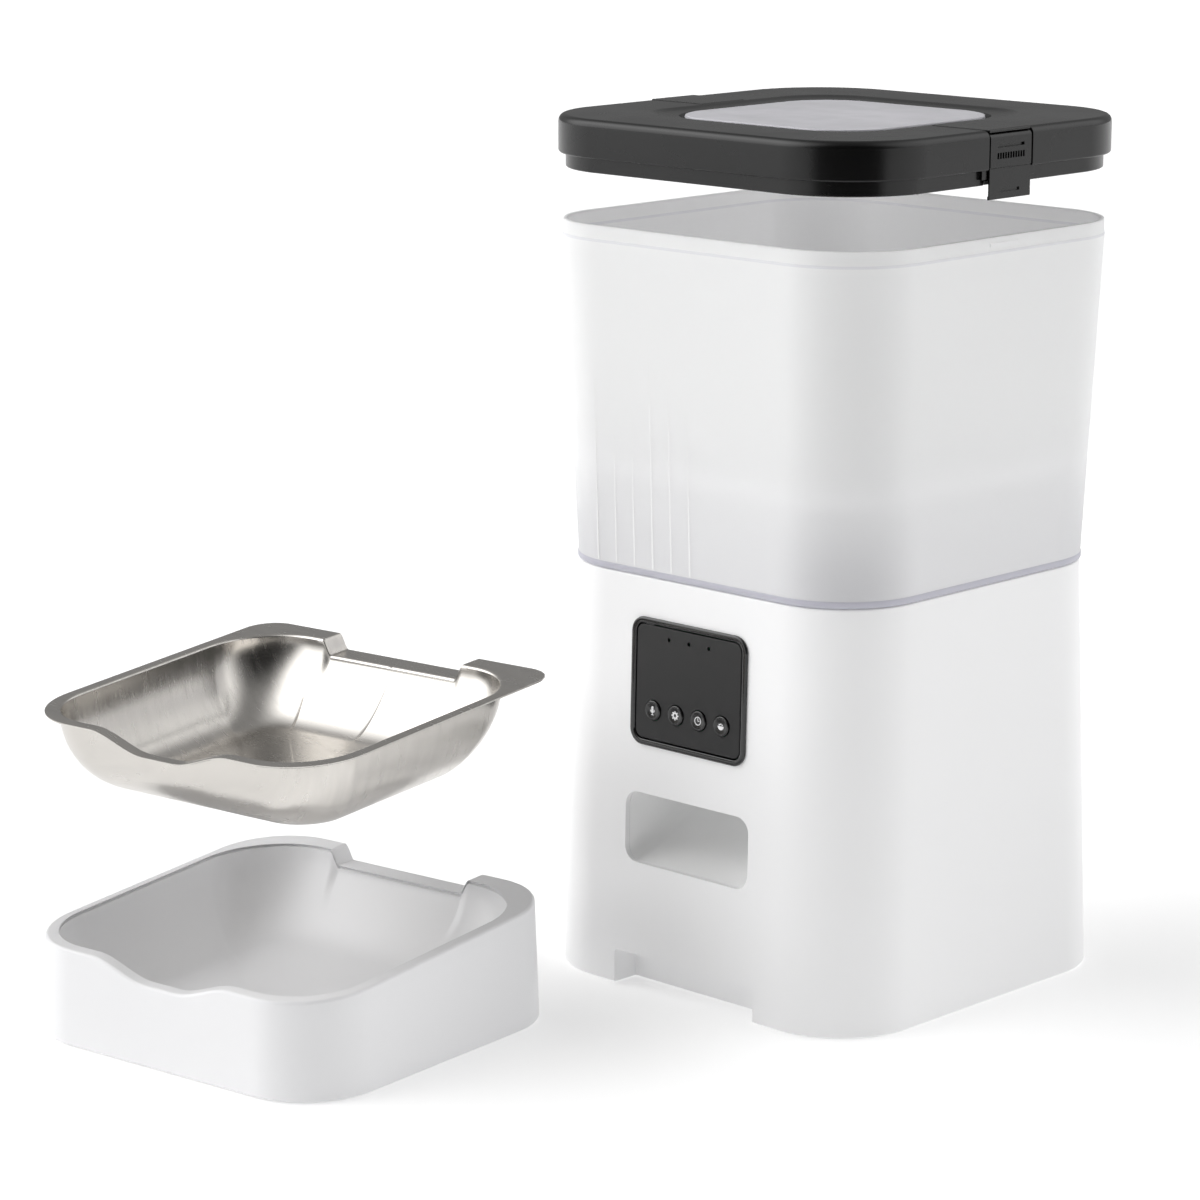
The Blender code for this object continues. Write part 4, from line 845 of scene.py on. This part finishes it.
def dish_ring(inset, share, level, lower=0.0, back_extra=0.0, back_round=0.0, rising=False):
    """A ring of the tray or bowl: share 0 is the shaped rim, and share 1 the level or the rising floor."""
    width = TRAY_WIDTH - 2 * TRAY_DRAFT - 2 * inset
    depth = TRAY_DEPTH - 2 * TRAY_DRAFT - 2 * inset - back_extra
    radius = max(TRAY_RADIUS - TRAY_DRAFT - 0.6 * inset, 0.012)
    stops = EDGE_STOPS + [-stop for stop in EDGE_STOPS[::-1]]
    ring = []
    for corner, (side, end) in enumerate(((1, -1), (1, 1), (-1, 1), (-1, -1))):
        bend = radius + (back_round if end > 0 else 0.0)
        cx, cy = side * (width / 2 - bend), end * (depth / 2 - bend)
        narrowing = min(1.0, abs(cx) / EDGE_REACH)
        ring += [(px, py, 0.0) for px, py in arc(cx, cy, bend, 90 * corner - 90, 90, ARC)]
        if corner == 1:
            dips = [NOTCH_DIP * smooth((0.0403 - abs(stop)) / 0.0052) for stop in stops]
            ring += [(stop * narrowing, depth / 2, dip) for stop, dip in zip(stops, dips)]
        if corner == 3:
            dips = [SCOOP_DEPTH * smooth((0.0390 - abs(stop)) / 0.0310) for stop in stops]
            ring += [(-stop * narrowing, -depth / 2, dip) for stop, dip in zip(stops, dips)]
    points = []
    for px, py, dip in ring:
        rim = RIM_FRONT + (RIM_BACK - RIM_FRONT) * (py / TRAY_DEPTH + 0.5)
        here = level + floor_rise(py) if rising else level
        dip *= (1 - share) ** 2 if rising else 1 - share
        points.append((px, py - back_extra / 2, rim * (1 - share) - dip + here * share - lower))
    return points


def basin_ring(inset, share, level, lower=0.0, near=0.0):
    """A ring of the basin, which keeps further from the back edge and whose floor rises."""
    return dish_ring(inset, share, level, lower, 0.006, 0.006 + near, True)


def basin(steps=26, reach=0.026):
    """The basin's wall as (inset, share) steps: a quarter ellipse, steep at the rim and flat at the floor."""
    for step in range(steps + 1):
        angle = math.pi / 2 * step / steps
        yield reach * (1 - math.cos(angle)), math.sin(angle)
    for inset in (0.034, 0.042, 0.050, 0.058):
        yield inset, 1.0


def tray_place(lift=0.0):
    return Matrix.Translation((TRAY_X, TRAY_Y, lift)) @ Matrix.Rotation(math.radians(TRAY_TURN), 4, "Z")


def make_tray():
    rim, bend = 0.0050, 0.0016

    def outer(inset, z):
        return dish_ring(inset - TRAY_DRAFT, 1.0, z)

    turns = [math.radians(angle) for angle in (90, 70, 50, 30, 10)]
    over_out = [dish_ring(bend * (1 - math.sin(a)), 0.0, 0, bend * (1 - math.cos(a))) for a in turns]
    over_in = [basin_ring(rim - bend * math.cos(a), 0.0, 0, bend * (1 - math.sin(a))) for a in turns]
    inside = [basin_ring(rim + inset, share, TRAY_FLOOR, 0.0016 * (1 - share)) for inset, share in basin()]
    under = list(basin())[:3:-1]
    below = [basin_ring(rim + inset - 0.002, share, TRAY_FLOOR, 0.0026) for inset, share in under]
    foot = [dish_ring(0.0034, 0.30, TRAY_FLOOR, 0.0026), outer(0.0028, TRAY_BASE)]
    foot += [outer(0.0006, TRAY_BASE), outer(0.0, TRAY_BASE + 0.0008)]
    rings = below + foot + over_out + over_in + inside
    back_face = TRAY_DEPTH / 2
    tongue = span_box((-0.020, back_face - 0.0024, TRAY_BASE + 0.0005), (0.020, back_face + 0.007, 0.0125))
    piece(
        "tray_dish",
        loft(rings),
        tray_white,
        "tray",
        ["tray"],
        joins=[tongue],
        place=tray_place(),
        bend=60,
    )


def make_bowl():
    edge, flange, corner = 0.0025, 0.0082, -0.018
    top = BOWL_SHEET + GAP
    bend = 0.0022
    turns = [math.radians(angle) for angle in (15, 30, 45, 60, 75)]
    lip = [
        basin_ring(flange - bend * (1 - math.sin(a)), 0.0, 0, -top + bend * (1 - math.cos(a)) * 0.5, -0.003)
        for a in turns
    ]
    inside = [
        basin_ring(flange + i, s, BOWL_FLOOR + top, (bend * 0.5 - top) * (1 - s), -0.003)
        for i, s in basin()
    ]
    outside = [
        basin_ring(flange + i - BOWL_SHEET * 0.9, s, BOWL_FLOOR + GAP, -GAP * (1 - s), -0.003)
        for i, s in list(basin())[::-1]
    ]
    rolled = (
        (edge, -GAP),
        (edge - 0.0002, -GAP - 0.0003),
        (edge - 0.0002, 0.0002 - top),
        (edge + 0.0002, -top),
    )
    rim = [dish_ring(inset, 0, 0, lower, 0.0, corner) for inset, lower in rolled]
    piece(
        "bowl_dish",
        loft(outside + rim + lip + inside),
        steel,
        "bowl",
        ["bowl"],
        place=tray_place(BOWL_LIFT),
        bend=60,
    )


make_base()
make_chute()
make_panel()
make_hopper()
make_lid()
make_tray()
make_bowl()

finishes = {
    "white_plastic": white,
    "grey_plastic": grey,
    "matte_black": black,
    "gloss_black": gloss_black,
    "frosted_clear": window_clear,
    "rubber": rubber,
    "soft_green": green,
    "steel": screw_steel,
    "brass": brass,
    "circuit_board": board,
    "cell_jacket": jacket,
    "paper_pack": paper,
}
for entry in frame["record"]["subparts"]:
    item = nodes[entry["node"]]
    item.data.materials.clear()
    item.data.materials.append(finishes[entry["material_slot"]])

# ---------------------------------------------------------------- floor, light and camera

floor = mesh_object("floor", loft([flat_ring(60.0, 1.0, z, steps=4) for z in (-0.02, 0.0)]))
floor_look = Look("floor", (0.93, 0.93, 0.93), 0.60).vary_colour(3, 0.004).set(0.0, "Specular IOR Level")
floor_look.set((1, 1, 1, 1), "Emission Color").set(0.30, "Emission Strength")
floor.data.materials.append(floor_look.material)


def towards(azimuth, elevation):
    """The direction at an azimuth, seen from above with 0 at the front and 90 at the right side."""
    turn, lift = math.radians(azimuth), math.radians(elevation)
    return Vector((math.sin(turn) * math.cos(lift), -math.cos(turn) * math.cos(lift), math.sin(lift)))


def make_studio(base, boxes, flags):
    """A soft studio room: broad soft boxes add to an even base light, and dark flags cut into it."""
    world = bpy.data.worlds.new("studio")
    bpy.context.scene.world = world
    world.use_nodes = True
    tree = world.node_tree
    direction = tree.nodes.new("ShaderNodeTexCoord").outputs["Generated"]

    def calculate(operation, first, second):
        step = tree.nodes.new("ShaderNodeMath")
        step.operation = operation
        for socket, value in zip(step.inputs, (first, second)):
            if isinstance(value, float):
                socket.default_value = value
            else:
                tree.links.new(value, socket)
        return step.outputs[0]

    def patch(azimuth, elevation, inner, outer):
        dot = tree.nodes.new("ShaderNodeVectorMath")
        dot.operation = "DOT_PRODUCT"
        tree.links.new(direction, dot.inputs[0])
        dot.inputs[1].default_value = towards(azimuth, elevation)
        soft = tree.nodes.new("ShaderNodeMapRange")
        soft.interpolation_type = "SMOOTHSTEP"
        soft.inputs["From Min"].default_value = math.cos(math.radians(outer))
        soft.inputs["From Max"].default_value = math.cos(math.radians(inner))
        tree.links.new(dot.outputs["Value"], soft.inputs["Value"])
        return soft.outputs["Result"]

    total = base
    for strength, *place in boxes:
        total = calculate("ADD", total, calculate("MULTIPLY", patch(*place), strength))
    for strength, *place in flags:
        shade = calculate("MULTIPLY", patch(*place), strength)
        total = calculate("MULTIPLY", total, calculate("SUBTRACT", 1.0, shade))
    tree.nodes["Background"].inputs["Color"].default_value = (1, 1, 1, 1)
    tree.links.new(total, tree.nodes["Background"].inputs["Strength"])


# Each box and flag: strength, azimuth, elevation, and the degrees where it is full and where it ends
STUDIO_BASE = 0.38
STUDIO_BOXES = ((2.4, -48, 32, 6, 50), (1.15, 134, 34, 6, 50))
STUDIO_FLAGS = ((0.96, 44, 10, 20, 62), (0.30, 224, 5, 15, 50), (0.30, 0, 90, 10, 50))
make_studio(STUDIO_BASE, STUDIO_BOXES, STUDIO_FLAGS)


def add_light(name, size, power, place, target):
    data = bpy.data.lights.new(name, "AREA")
    data.shape = "RECTANGLE"
    data.size, data.size_y = size
    data.energy = power
    item = bpy.data.objects.new(name, data)
    bpy.context.scene.collection.objects.link(item)
    item.location = place
    item.rotation_euler = (Vector(place) - Vector(target)).to_track_quat("Z", "Y").to_euler()


CAMERA_AZIMUTH, CAMERA_ELEVATION, CAMERA_DISTANCE = 44.17, 12.6, 1.888
CAMERA_TARGET = Vector((-0.1421, 0, 0.1439))
CAMERA_SENSOR, CAMERA_LENS = 36, 120.3  # millimetres
KEY_AZIMUTH, KEY_ELEVATION, KEY_DISTANCE, KEY_SIZE, KEY_POWER = -50, 48, 3.0, 1.6, 5
KEY_TARGET = Vector((-0.06, -0.06, 0.16))
FLAG_WIDTH, FLAG_TALL, FLAG_DISTANCE = 1.5, 0.55, 1.05

key_place = KEY_TARGET + towards(KEY_AZIMUTH, KEY_ELEVATION) * KEY_DISTANCE
add_light("key_softbox", (KEY_SIZE, KEY_SIZE), KEY_POWER, key_place, KEY_TARGET)

# A dark card below the camera, seen only in reflections, which darkens the lid's and the bowl's corners
flag_place = towards(CAMERA_AZIMUTH, 0) * FLAG_DISTANCE + Vector((-0.1, 0, 0.0))
flag_turn = Matrix.Rotation(math.radians(CAMERA_AZIMUTH), 4, "Z")
flag = mesh_object("dark_flag", span_box((-FLAG_WIDTH / 2, -0.005, 0.0), (FLAG_WIDTH / 2, 0.005, FLAG_TALL)))
flag.data.transform(Matrix.Translation(flag_place) @ flag_turn)
flag.data.materials.append(Look("flag_cloth", (0.01, 0.01, 0.01), 0.9).vary_colour(40, 0.1).material)
for kind in ("camera", "diffuse", "shadow", "transmission"):
    setattr(flag, "visible_" + kind, False)

away = towards(CAMERA_AZIMUTH, CAMERA_ELEVATION)
right = Vector((math.cos(math.radians(CAMERA_AZIMUTH)), math.sin(math.radians(CAMERA_AZIMUTH)), 0))
turn = Matrix((right, away.cross(right), away)).transposed().to_4x4()
camera = bpy.data.objects.new("camera", bpy.data.cameras.new("camera"))
bpy.context.scene.collection.objects.link(camera)
camera.matrix_world = Matrix.Translation(CAMERA_TARGET + away * CAMERA_DISTANCE) @ turn
camera.data.sensor_width = CAMERA_SENSOR
camera.data.lens = CAMERA_LENS
camera.data.clip_end = 100
bpy.context.scene.camera = camera
bpy.context.scene.view_settings.view_transform = "Standard"
